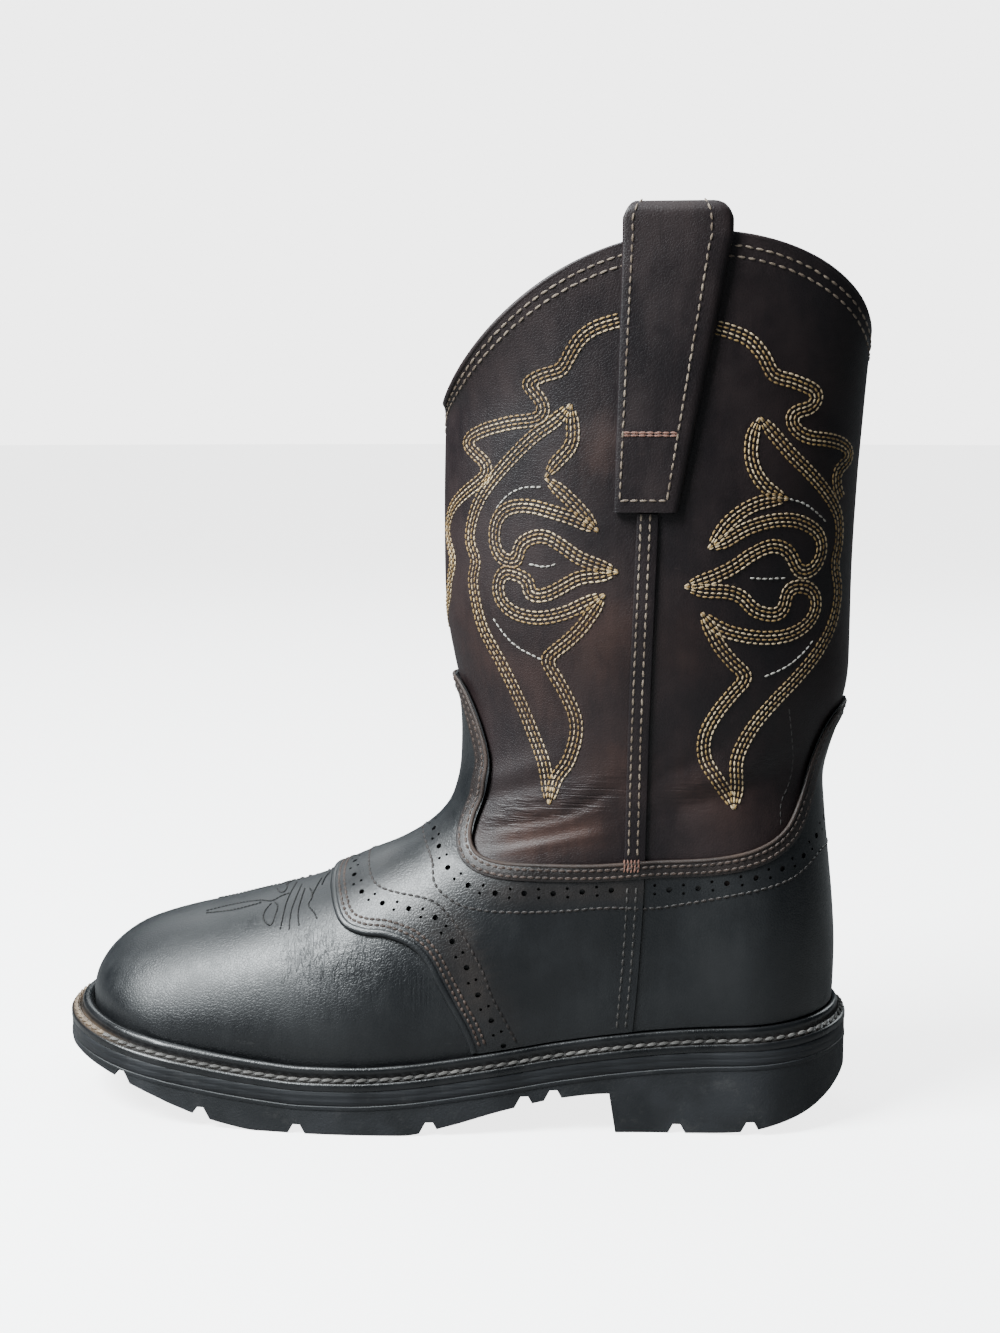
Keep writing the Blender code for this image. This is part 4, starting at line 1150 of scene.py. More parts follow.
class Yarn(Enum):
    """Threads of the boot: name of the finish, bright colour, dull colour."""

    BRONZE = ("bronze_thread", (0.50, 0.33, 0.13), (0.23, 0.14, 0.055))
    BEIGE = ("beige_thread", (0.80, 0.63, 0.39), (0.40, 0.28, 0.15))
    WHITE = ("white_thread", (0.62, 0.60, 0.55), (0.34, 0.31, 0.27))
    SEAM = ("dull_seam_thread", (0.330, 0.265, 0.205), (0.130, 0.095, 0.070))
    RUST = ("rusty_thread", (0.34, 0.175, 0.130), (0.17, 0.082, 0.062))
    FAINT = ("faint_grey_thread", (0.078, 0.071, 0.067), (0.030, 0.027, 0.025))
    BROWN = ("brown_thread", (0.084, 0.056, 0.045), (0.036, 0.024, 0.019))
    GREY = ("grey_welt_thread", (0.175, 0.165, 0.155), (0.070, 0.066, 0.062))
    BLACK = ("black_thread", (0.020, 0.018, 0.018), (0.008, 0.008, 0.008))
    DARK = ("dark_brown_thread", (0.040, 0.031, 0.028), (0.016, 0.013, 0.012))
    TAN = ("tan_welt_thread", (0.33, 0.25, 0.17), (0.12, 0.085, 0.060))


class Wardrobe:
    """Every finish of the boot, built once."""

    def __init__(self) -> None:
        """Builds the shared groups, then the materials."""
        shared = SharedEffects()
        self.shaft = LeatherFinish(
            "dark_brown_oiled_leather",
            dark=(0.0066, 0.0043, 0.0054),
            light=(0.0200, 0.0108, 0.0108),
            pull_up_and_highlight_tint=(0.052, 0.0240, 0.0175),
            worn=(0.045, 0.030, 0.026),
            roughness=(0.43, 0.60),
            specular=0.36,
            grain_scale=1000.0,
        ).build(shared)
        self.foot = LeatherFinish(
            "black_oiled_leather",
            dark=(0.0040, 0.0046, 0.0058),
            light=(0.0115, 0.0122, 0.0135),
            pull_up_and_highlight_tint=(0.026, 0.019, 0.016),
            worn=(0.040, 0.039, 0.038),
            roughness=(0.36, 0.50),
            grain_scale=850.0,
            coat=0.22,
        ).build(shared)
        self.edge = LeatherFinish(
            "brown_cut_edge",
            dark=(0.016, 0.0095, 0.0075),
            light=(0.048, 0.028, 0.020),
            pull_up_and_highlight_tint=(0.048, 0.028, 0.020),
            worn=(0.10, 0.065, 0.045),
            roughness=(0.5, 0.7),
            grain_scale=1800.0,
            patch_scale=60.0,
            coat=0.0,
        ).build(shared)
        self.strip = LeatherFinish(
            "brown_strip_leather",
            dark=(0.0085, 0.0062, 0.0060),
            light=(0.020, 0.0125, 0.0105),
            pull_up_and_highlight_tint=(0.040, 0.022, 0.016),
            worn=(0.060, 0.036, 0.026),
            grain_scale=1300.0,
        ).build(shared)
        self.welt = RubberFinish(
            "glossy_black_welt",
            dark=(0.0045, 0.0047, 0.0052),
            light=(0.009, 0.009, 0.010),
            roughness=(0.25, 0.38),
            dusty=0.06,
            coat=0.25,
        ).build(shared)
        self.midsole = RubberFinish(
            "charcoal_midsole",
            dark=(0.0085, 0.0092, 0.011),
            light=(0.0155, 0.0165, 0.0195),
            roughness=(0.46, 0.62),
            line_scale=260.0,
            dusty=0.12,
            bump_depth=0.00005,
        ).build(shared)
        self.outsole = RubberFinish(
            "matt_outsole_rubber",
            dark=(0.0100, 0.0108, 0.0125),
            light=(0.0175, 0.0185, 0.0215),
            roughness=(0.52, 0.70),
            dusty=0.16,
            bump_depth=0.00018,
        ).build(shared)
        lining = LiningFinish("napped_lining", (0.075, 0.050, 0.034), (0.140, 0.100, 0.070))
        self.lining = lining.build(shared)
        self.threads = {yarn: ThreadFinish(*yarn.value).build(shared) for yarn in Yarn}


def seam_x(skin: LeatherSkin, z: np.ndarray) -> np.ndarray:
    """X of the side seam's rear edge at a height."""
    line = curve_through(skin.shape.side_points(SEAM_ROWS), 60)[::-1]
    return np.interp(z, line[:, 1], line[:, 0])


def on_saddle(skin: LeatherSkin, points: np.ndarray) -> np.ndarray:
    """Whether points lie on the saddle, in front of the side seam."""
    return points[:, 0] < seam_x(skin, points[:, 2])


# Seams and edges in the part's own shares: along the sole, and up from the heel's height to the collar's.
SEAM_ROWS = (
    (0.774, 1.023), (0.768, 0.729), (0.766, 0.638), (0.758, 0.401), (0.754, 0.220), (0.749, 0.105),
    (0.741, 0.002), (0.733, -0.063),
)
TOP_LINE = (
    (0.495, 0.448), (0.522, 0.440), (0.546, 0.395), (0.561, 0.342), (0.556, 0.299), (0.545, 0.265),
    (0.541, 0.240), (0.550, 0.222), (0.575, 0.214), (0.617, 0.213), (0.690, 0.215), (0.753, 0.220),
    (0.830, 0.225), (0.885, 0.236), (0.920, 0.259), (0.938, 0.299), (0.950, 0.344), (0.968, 0.389),
    (0.990, 0.416), (1.020, 0.430),
)
SADDLE_FRONT = (
    (0.345, 0.242), (0.359, 0.181), (0.370, 0.154), (0.386, 0.130), (0.412, 0.122), (0.440, 0.121),
    (0.470, 0.112), (0.491, 0.095), (0.506, 0.069), (0.523, 0.036), (0.540, 0.002), (0.552, -0.034),
    (0.562, -0.066),
)


def rounded_strip(width: float, thickness: float, corner: float, points: int = 4) -> tuple:
    """Profile of a strip with rounded upper corners, from one side to the other, closed underneath.

    Args:
        width: Width across.
        thickness: Height above the skin.
        corner: Radius of the upper corners.
        points: Points of each corner.

    Returns:
        Corners as across and up.
    """
    profile = [(-width / 2, 0.0)]
    for centre, start in ((-width / 2 + corner, math.pi), (width / 2 - corner, math.pi / 2)):
        for angle in np.linspace(start, start - math.pi / 2, points):
            profile.append((centre + corner * math.cos(angle), thickness - corner + corner * math.sin(angle)))
    profile.append((width / 2, 0.0))
    return tuple(profile)


def rod(radius: float, sides: int = 10, lift: float = 0.7) -> tuple:
    """Round profile whose middle is lifted from the skin by a share of its radius."""
    turns = [2 * math.pi * i / sides for i in range(sides)]
    return tuple((radius * math.cos(a), radius * lift + radius * math.sin(a)) for a in turns)


@dataclass(frozen=True)
class RowKind:
    """How one set of rows is sewn: its name, thread, slot, pitch, and a stitch's length, width and height."""

    name: str
    yarn: Yarn
    slot: Slot
    pitch: float
    size: tuple


@dataclass
class Stitcher:
    """Makes rows of stitches from one modelled stitch."""

    skin: LeatherSkin
    wardrobe: Wardrobe
    model: tuple = None
    seed: int = 11
    askew: float = 0.06
    uneven: float = 0.10
    narrowest: float = 0.30
    fine_pitch: float = 0.0008
    chance: np.random.Generator = None

    def __post_init__(self) -> None:
        """Models the stitch: a bead drawn out along the row, with its ends sunk in the leather."""
        self.chance = np.random.default_rng(self.seed)
        Bench.clear()
        bpy.ops.mesh.primitive_uv_sphere_add(segments=6, ring_count=4, radius=0.5, location=(0, 0, 0))
        stitch = bpy.context.object
        bpy.ops.object.mode_set(mode="EDIT")
        bpy.ops.mesh.select_all(action="SELECT")
        bpy.ops.transform.rotate(value=math.pi / 2, orient_axis="Y", center_override=(0, 0, 0))
        bpy.ops.object.mode_set(mode="OBJECT")
        self.model = Bench.taken(stitch)

    def sewn(self, kind: RowKind, lines: list, height: object) -> None:
        """Sews rows as one joined mesh.

        Args:
            kind: How they are sewn.
            lines: Lines near the skin.
            height: Height of the leather above the skin, or a function that gives it for places.
        """
        laid = []
        for line in lines:
            even = evenly(line, kind.pitch)
            if len(even) > 3:
                spots, outward = self.skin.settle((even[:-1] + even[1:]) / 2)
                rise = height(spots) if callable(height) else np.full(len(spots), height)
                laid.append((spots + outward * rise[:, None], outward))
        self._joined(kind, laid)

    def laid(self, kind: RowKind, rows: list) -> None:
        """Sews rows whose points and outward directions are already known.

        Args:
            kind: How they are sewn.
            rows: Points and outward directions of each row.
        """
        spaced = []
        for line, outward in rows:
            run = np.concatenate([[0], np.cumsum(np.linalg.norm(np.diff(line, axis=0), axis=1))])
            count = round(run[-1] / kind.pitch)
            wanted = (np.arange(count) + 0.5) * run[-1] / count
            both = np.hstack([line, outward])
            read = np.stack([np.interp(wanted, run, both[:, i]) for i in range(6)], axis=1)
            spaced.append((read[:, :3], unit(read[:, 3:])))
        self._joined(kind, spaced)

    def _joined(self, kind: RowKind, rows: list) -> None:
        """Joins stitches at known places, each a little askew and of its own length."""
        places, axes = [], []
        for spots, outward in rows:
            ahead = unit(np.gradient(spots, axis=0))
            across = unit(np.cross(outward, ahead))
            turn = self.chance.normal(0, self.askew, len(spots))[:, None]
            length = kind.size[0] * (1 + self.chance.uniform(-self.uneven, self.uneven, len(spots)))[:, None]
            along, side = (ahead + across * turn) * length, (across - ahead * turn) * kind.size[1]
            places.append(spots)
            axes.append(np.stack([along, side, outward * kind.size[2]], axis=1))
        piece = Bench.repeated(kind.name, self.model, np.concatenate(places), np.concatenate(axes))
        Bench.finish(piece, [self.wardrobe.threads[kind.yarn]], kind.slot)

    def beside(self, line: np.ndarray, distance: float, taper: float = 0.0, trim: bool = True) -> np.ndarray:
        """A line moved sideways on the skin.

        Args:
            line: The line.
            distance: How far, to the left of its way on the outer side.
            taper: Length over which the move fades in from both ends.
            trim: Whether points that came too near to the line are left out.

        Returns:
            The moved line.
        """
        even = evenly(line, self.fine_pitch)
        spots, outward = self.skin.settle(even)
        ahead = softened(unit(np.gradient(spots, axis=0)), 4)
        across = unit(np.cross(outward, ahead))
        run = np.arange(len(spots)) * self.fine_pitch
        amount = np.full(len(spots), distance)
        if taper:
            fade = ease(0, taper, np.minimum(run, run[-1] - run))
            amount = distance * (self.narrowest + (1 - self.narrowest) * fade)
        moved = spots + across * amount[:, None]
        if trim and abs(distance) > 0.001:
            near = np.array([np.linalg.norm(spots - p, axis=1).min() for p in moved])
            moved = moved[near > 0.93 * np.abs(amount)]
        return moved


@dataclass
class Upper:
    """Vamp and shaft in one hollow wall, with its collar edge."""

    skin: LeatherSkin
    wardrobe: Wardrobe
    wall: float = 0.0022
    foot_along: float = 0.45
    foot_up: float = 0.19
    collar_radius: float = 0.00112

    def build(self) -> None:
        """Builds and dresses the upper and the rolled edge of its collar."""
        skin = self.skin
        inner = skin.points - skin.normals * self.wall
        wall = np.concatenate([skin.points, inner[::-1]])
        upper = Bench.sheet("upper_leather", wall, round_way=True, closed_rows=True)
        skin.mark(upper)
        indices = []
        for face in upper.data.polygons:
            up, along = skin.shape.up_at(face.center.z), skin.shape.along_at(face.center.x)
            foot = up < self.foot_up or along < self.foot_along
            buried = skin.tree.find_nearest(face.center)[3] > self.wall * 0.7
            indices.append(2 if buried else int(foot))
        finishes = [self.wardrobe.shaft, self.wardrobe.foot, self.wardrobe.lining]
        Bench.finish(upper, finishes, Slot.SHAFT, ("upper",), angle=50)
        upper.data.polygons.foreach_set("material_index", indices)
        rim = skin.below_collar(0.0)
        line, outward = skin.settle(rim[:-1])
        line = line - outward * self.wall / 2
        edge = Bench.swept("collar_rolled_edge", line, outward, rod(self.collar_radius, 10, 0.0), loop=True)
        edge.data.transform(Matrix.Translation((0, 0, -self.collar_radius * 0.5)))
        Bench.finish(edge, [self.wardrobe.shaft], Slot.SHAFT)


@dataclass
class Overlays:
    """Saddle, counter, side seam strips, and the brown strip and rolled edge of the foot's top line."""

    skin: LeatherSkin
    wardrobe: Wardrobe
    saddle_thickness: float = 0.0015
    counter_thickness: float = 0.0009
    seam_thickness: float = 0.0009
    seam_width: float = 0.0080
    bead_height: float = 0.0040
    reach: float = 0.100
    reach_up: float = 0.50
    big_hole: float = 0.00110
    small_hole: float = 0.00060
    hole_depth: float = 0.0030
    big_pitch: float = 0.0109
    pair_offset: float = 0.0016
    front_margin: float = 0.010
    rear_margin: float = 0.0025
    rolled_radius: float = 0.00085
    rolled_sink: float = 0.0006
    strip_section: tuple = (0.0058, 0.0005, 0.0004)
    strip_shift: float = 0.0030
    strip_lift: float = 0.0001
    fold_section: tuple = (0.0030, 0.0022, 0.0011)
    fold_pitch: float = 0.0018
    # Lines of perforation, drawn on the photograph.
    top_holes: tuple = (
        (441, 842), (444, 862), (466, 884), (493, 893), (524, 893), (554, 893), (585, 891), (620, 889),
        (655, 889), (688, 889), (719, 884), (750, 879), (778, 870), (800, 857), (814, 835), (824, 806),
    )
    saddle_holes: tuple = (
        (366, 848), (360, 857), (356, 872), (360, 889), (374, 902), (401, 908), (427, 914), (441, 922),
        (450, 937), (464, 961), (477, 992), (492, 1021), (503, 1044),
    )

    def above_bead(self, x: np.ndarray) -> np.ndarray:
        """Height just clear of the welt's bead."""
        return self.skin.shape.seat(x) + self.bead_height + 2 * GAP

    def build(self) -> None:
        """Builds every overlay."""
        self._saddle()
        self._counter()
        self._top_edge()
        self._saddle_fold()
        for side in Side:
            self._side_seam(side)

    def _shell(self, name: str, thickness: float) -> Piece:
        """The lower part of the skin, raised and given a wall."""
        skin = self.skin
        rows = int((skin.points[:, :, 2].min(axis=1) < skin.shape.z_at(self.reach_up)).sum())
        raised = (skin.points + skin.normals * GAP)[:rows]
        shell = Bench.sheet(name, raised, round_way=True)
        Bench.face_along(shell, raised[rows // 2, 70], skin.normals[rows // 2, 70])
        Bench.apply(shell, "SOLIDIFY", thickness=thickness, offset=1, use_even_offset=True)
        return shell

    def _top_line(self) -> np.ndarray:
        """X and Z of the foot's top line."""
        return curve_through(self.skin.shape.side_points(TOP_LINE), 90)

    def _saddle(self) -> None:
        """Saddle across the instep, with its perforations."""
        shape, top = self.skin.shape, self._top_line()
        front = curve_through(shape.side_points(SADDLE_FRONT), 60)
        crossing = top[top[:, 0] < seam_x(self.skin, top[:, 1]) - GAP]
        low = self.above_bead(shape.x_at(SEAM_ROWS[-1][0]))
        levels = np.linspace(crossing[-1][1], low, 40)
        join = np.stack([seam_x(self.skin, levels) - GAP / 2, levels], axis=1)
        edge = front[front[:, 1] > self.above_bead(front[:, 0])]
        floor_x = np.linspace(join[-1][0], edge[-1][0], 40)
        floor = np.stack([floor_x, self.above_bead(floor_x)], axis=1)
        corner = [[shape.x_at(TOP_LINE[0][0]) - self.saddle_thickness, shape.z_at(TOP_LINE[0][1])]]
        outline = np.concatenate([crossing, join[:-1], floor[:-1], edge[::-1], corner])
        saddle = self._shell("instep_saddle", self.saddle_thickness)
        Bench.carve(saddle, Bench.block("saddle_outline", outline, -self.reach, self.reach), "INTERSECT")
        Bench.carve(saddle, self._hole_cutter(True), "DIFFERENCE")
        self.skin.mark(saddle)
        Bench.finish(saddle, [self.wardrobe.foot], Slot.FOOT, ("saddle",))

    def _counter(self) -> None:
        """Counter round the heel, with its perforations."""
        top = self._top_line()
        rest = top[top[:, 0] > seam_x(self.skin, top[:, 1]) + GAP]
        low = self.above_bead(self.skin.shape.x_at(SEAM_ROWS[-1][0]))
        levels = np.linspace(low, rest[0][1], 40)
        join = np.stack([seam_x(self.skin, levels) + GAP / 2, levels], axis=1)
        floor_x = np.linspace(rest[-1][0], join[0][0], 40)
        floor = np.stack([floor_x, self.above_bead(floor_x)], axis=1)
        outline = np.concatenate([join[:-1], rest, floor[:-1]])
        counter = self._shell("heel_counter", self.counter_thickness)
        Bench.carve(counter, Bench.block("counter_outline", outline, -self.reach, self.reach), "INTERSECT")
        Bench.carve(counter, self._hole_cutter(False), "DIFFERENCE")
        Bench.finish(counter, [self.wardrobe.foot], Slot.FOOT, ("counter",))

    def _hole_cutter(self, for_saddle: bool) -> Piece:
        """Pins for the perforations in front of the side seam, or behind it.

        Args:
            for_saddle: Whether they are the saddle's, which lie in front of the seam.

        Returns:
            The joined pins.
        """
        skin = self.skin
        lines = [skin.drawn(self.top_holes)]
        if for_saddle:
            lines.append(skin.drawn(self.saddle_holes))
        spots, sizes = [], []
        for line in lines:
            whole = skin.over_ridge(line, back_too=line is lines[0])
            even = evenly(whole, self.big_pitch)
            settled, outward = skin.settle(even)
            ahead = unit(np.gradient(settled, axis=0))
            across = unit(np.cross(outward, ahead))
            spots.extend(settled)
            sizes.extend([self.big_hole] * len(settled))
            half_way = (settled[:-1] + settled[1:]) / 2
            for sign in (-1, 1):
                spots.extend(half_way + across[:-1] * sign * self.pair_offset)
                sizes.extend([self.small_hole] * len(half_way))
        centres, outward = skin.settle(np.array(spots))
        sizes = np.array(sizes)
        seam = seam_x(skin, centres[:, 2])
        if for_saddle:
            keep = centres[:, 0] < seam - self.front_margin
        else:
            keep = centres[:, 0] > seam + self.rear_margin
        centres, outward, sizes = centres[keep], outward[keep], sizes[keep]
        ahead = unit(np.cross(outward, np.array([0.0, 0.3, 1.0])))
        across = np.cross(outward, ahead)
        Bench.clear()
        bpy.ops.mesh.primitive_cylinder_add(vertices=10, radius=1, depth=2, location=(0, 0, 0))
        model = Bench.taken(bpy.context.object)
        axes = np.stack([ahead * sizes[:, None], across * sizes[:, None], outward * self.hole_depth], axis=1)
        lift = outward * (self.hole_depth + GAP / 2)
        pins = Bench.repeated("perforation_pins", model, centres + lift, axes)
        Bench.tidy(pins)
        return pins

    def _top_edge(self) -> None:
        """Brown strip with a rolled edge, along the whole top line of the foot."""
        outer = evenly(self.skin.wrap(TOP_LINE), EDGE_PITCH)
        loop = np.concatenate([outer, self.skin.mirrored(outer)[::-1]])
        loop = evenly(np.concatenate([loop, loop[:1]]), EDGE_PITCH)[:-1]
        line, outward = self.skin.settle(loop)
        outward = unit(softened(outward, 3))
        thickness = np.where(on_saddle(self.skin, line), self.saddle_thickness, self.counter_thickness)
        top = GAP + softened(thickness, 4)[:, None]
        sunk, profile = line + outward * (top - self.rolled_sink), rod(self.rolled_radius)
        rolled = Bench.swept("top_line_rolled_edge", sunk, outward, profile, loop=True)
        Bench.finish(rolled, [self.wardrobe.edge], Slot.FOOT)
        strip = rounded_strip(*self.strip_section, 3)
        down = tuple((across - self.strip_shift, up) for across, up in strip)
        raised = line + outward * (top + self.strip_lift)
        band = Bench.swept("top_line_brown_strip", raised, outward, down, loop=True)
        Bench.finish(band, [self.wardrobe.strip], Slot.FOOT)

    def _saddle_fold(self) -> None:
        """Turned edge along the front of the saddle, over the instep."""
        front = evenly(self.skin.wrap(SADDLE_FRONT), EDGE_PITCH)
        front = front[front[:, 2] > self.above_bead(front[:, 0])]
        line, outward = self.skin.settle(evenly(self.skin.over_ridge(front), self.fold_pitch))
        outward = unit(softened(outward, 3))
        turned = Bench.swept("saddle_turned_edge", line, outward, rounded_strip(*self.fold_section))
        Bench.finish(turned, [self.wardrobe.foot], Slot.FOOT)

    def _side_seam(self, side: Side) -> None:
        """Lapped margin of the front panel, from the pull strap's foot to the top line."""
        skin, name = self.skin, side.name.lower()
        low = skin.shape.z_at(0.222)
        high = strap_foot(skin.shape) - GAP
        levels = np.linspace(low, high, 70)
        x = seam_x(skin, levels) - self.seam_width / 2
        line, outward = skin.settle(skin.shape.on_side(x, levels, side), GAP)
        outward = unit(softened(outward, 3))
        profile = rounded_strip(self.seam_width, self.seam_thickness, 0.0005)
        seam = Bench.swept(f"side_seam_strip_{name}", line, outward, profile)
        Bench.finish(seam, [self.wardrobe.shaft], Slot.SHAFT, (f"side_seam_{name}",))


def strap_foot(shape: BootShape) -> float:
    """Height of the lower end of the pull straps on the outside of the shaft."""
    return PullStrap.seat_height(shape) - PullStrap.outside_drop


@dataclass
class PullStrap:
    """Strap folded over the collar and sewn to both faces of the shaft."""

    skin: LeatherSkin
    wardrobe: Wardrobe
    side: Side
    thickness: float = 0.0026
    top_width: float = 0.0390
    foot_width: float = 0.0230
    rise: float = 0.0110
    loop_gap: float = 0.0036
    settle: float = 0.0040
    front: tuple = (0.722, 0.714)
    outside_drop: float = 0.0990
    inside_drop: float = 0.0480
    wall: float = 0.0022
    corner: float = 0.0042
    front_round: float = 0.030
    rear_round: float = 0.100
    row_shares: tuple = (-0.405, 0.300)
    row_stations: tuple = (2, 13)
    cross_gap: float = 0.0010

    @staticmethod
    def seat_height(shape: BootShape) -> float:
        """Height of the collar under the middle of a pull strap."""
        rim = shape.ring(1.0, 1.0, 21)[:22]
        x = float(shape.x_at(PullStrap.front[0])) + PullStrap.top_width / 2
        return float(np.interp(x, rim[:, 0], rim[:, 2])) + GAP

    def _stations(self) -> list:
        """Height, distance out from the skin and share of the way down, along the strap."""
        rim_z = self.seat_height(self.skin.shape)
        held_top = rim_z - self.settle
        outside, within = rim_z - self.outside_drop, rim_z - self.inside_drop
        rows = [(z, GAP, (rim_z - z) / self.outside_drop) for z in np.linspace(outside, held_top, 46)]
        inside = -(self.wall + GAP)
        centre, reach = (GAP + inside) / 2, self.loop_gap / 2
        rise = self.rise - reach - self.thickness
        turn = rim_z + rise
        for z in np.linspace(held_top, turn, 8)[1:-1]:
            rows.append((z, GAP + (centre + reach - GAP) * (z - held_top) / (turn - held_top), 0.0))
        for angle in np.linspace(0, math.pi, 15):
            rows.append((turn + reach * math.sin(angle), centre + reach * math.cos(angle), 0.0))
        for z in np.linspace(turn, held_top, 8)[1:-1]:
            rows.append((z, inside + (centre - reach - inside) * (z - held_top) / (turn - held_top), 0.0))
        rows += [(z, inside, (rim_z - z) / self.outside_drop) for z in np.linspace(held_top, within, 24)]
        return rows

    def build(self) -> None:
        """Builds and dresses the strap."""
        grid = self._laid(*self._section())[0]
        ends = [np.repeat(grid[i].mean(axis=0)[None], grid.shape[1], axis=0)[None] for i in (0, -1)]
        name = f"pull_strap_leather_{self.side.name.lower()}"
        strap = Bench.sheet(name, np.concatenate([ends[0], grid, ends[1]]), round_way=True)
        Bench.finish(strap, [self.wardrobe.shaft], Slot.SHAFT, (f"pull_strap_{self.side.name.lower()}",))

    def _laid(self, across: np.ndarray, up: np.ndarray) -> tuple:
        """Places on the strap at every station.

        Args:
            across: Shares across the strap, from -0.5 at the front edge to 0.5 at the rear.
            up: Heights over the strap's underside.

        Returns:
            The places and the directions out of the strap, station by station.
        """
        shape = self.skin.shape
        rim_z = self.seat_height(shape)
        held_top, crown = rim_z - self.settle, rim_z + self.rise - self.thickness
        stations, grid, outwards = self._stations(), [], []
        for row, (z, out, down) in enumerate(stations):
            width = self.top_width + (self.foot_width - self.top_width) * down
            front = float(shape.x_at(self.front[0] + (self.front[1] - self.front[0]) * down))
            above = min(self.corner, max(0.0, z - (crown - self.corner)))
            inset = self.corner - math.sqrt(self.corner**2 - above**2)
            held = min(z, held_top)
            x = front + width / 2 + across * (width - 2 * inset)
            places, outward = self.skin.settle(shape.on_side(x, np.full(len(x), held), self.side))
            if z > held_top + MERGE:
                before, after = stations[max(0, row - 1)], stations[min(len(stations) - 1, row + 1)]
                rise, run = after[0] - before[0], after[1] - before[1]
                slope = math.hypot(rise, run)
                outward_now = unit(outward * rise / slope - np.array([0, 0, run / slope]))
            else:
                outward_now = outward if out > 0 else -outward
            base = places + outward * out
            grid.append(base + outward_now * up[:, None] + np.array([0, 0, z - held + GAP]))
            outwards.append(outward_now)
        return np.array(grid), np.array(outwards)

    def _section(self) -> tuple:
        """Shares across and heights round the strap's section, thin in front and rolled over behind."""
        half, sections = self.thickness / 2, []
        turns = np.linspace(-math.pi / 2, math.pi / 2, 7)
        front, rear = 0.5 - self.front_round, 0.5 - self.rear_round
        sections += [(-front - self.front_round * math.cos(t), half + half * math.sin(t)) for t in turns]
        sections += [(a, self.thickness) for a in np.linspace(-front, rear, 12)[1:-1]]
        sections += [(rear + self.rear_round * math.cos(t), half - half * math.sin(t)) for t in turns]
        sections += [(a, 0.0) for a in np.linspace(rear, -front, 12)[1:-1]]
        return np.array([p[0] for p in sections]), np.array([p[1] for p in sections])

    def rows(self) -> tuple:
        """Stitch rows on the strap: both long sides up to the fold, the cross rows and the foot row."""
        front, rear = self.row_shares
        shares = np.linspace(front, rear, 15)
        grid, outward = self._laid(shares, np.full(15, self.thickness))
        crown = int(np.argmax(grid[:, 7, 2])) + 1
        foot = self.row_stations[0]
        plain = [(grid[foot:crown, i], outward[foot:crown, i]) for i in (0, -1)]
        plain.append((grid[foot], outward[foot]))
        at = self.row_stations[1]
        return plain, [(grid[at] + np.array([0, 0, lift]), outward[at]) for lift in (0.0, self.cross_gap)]


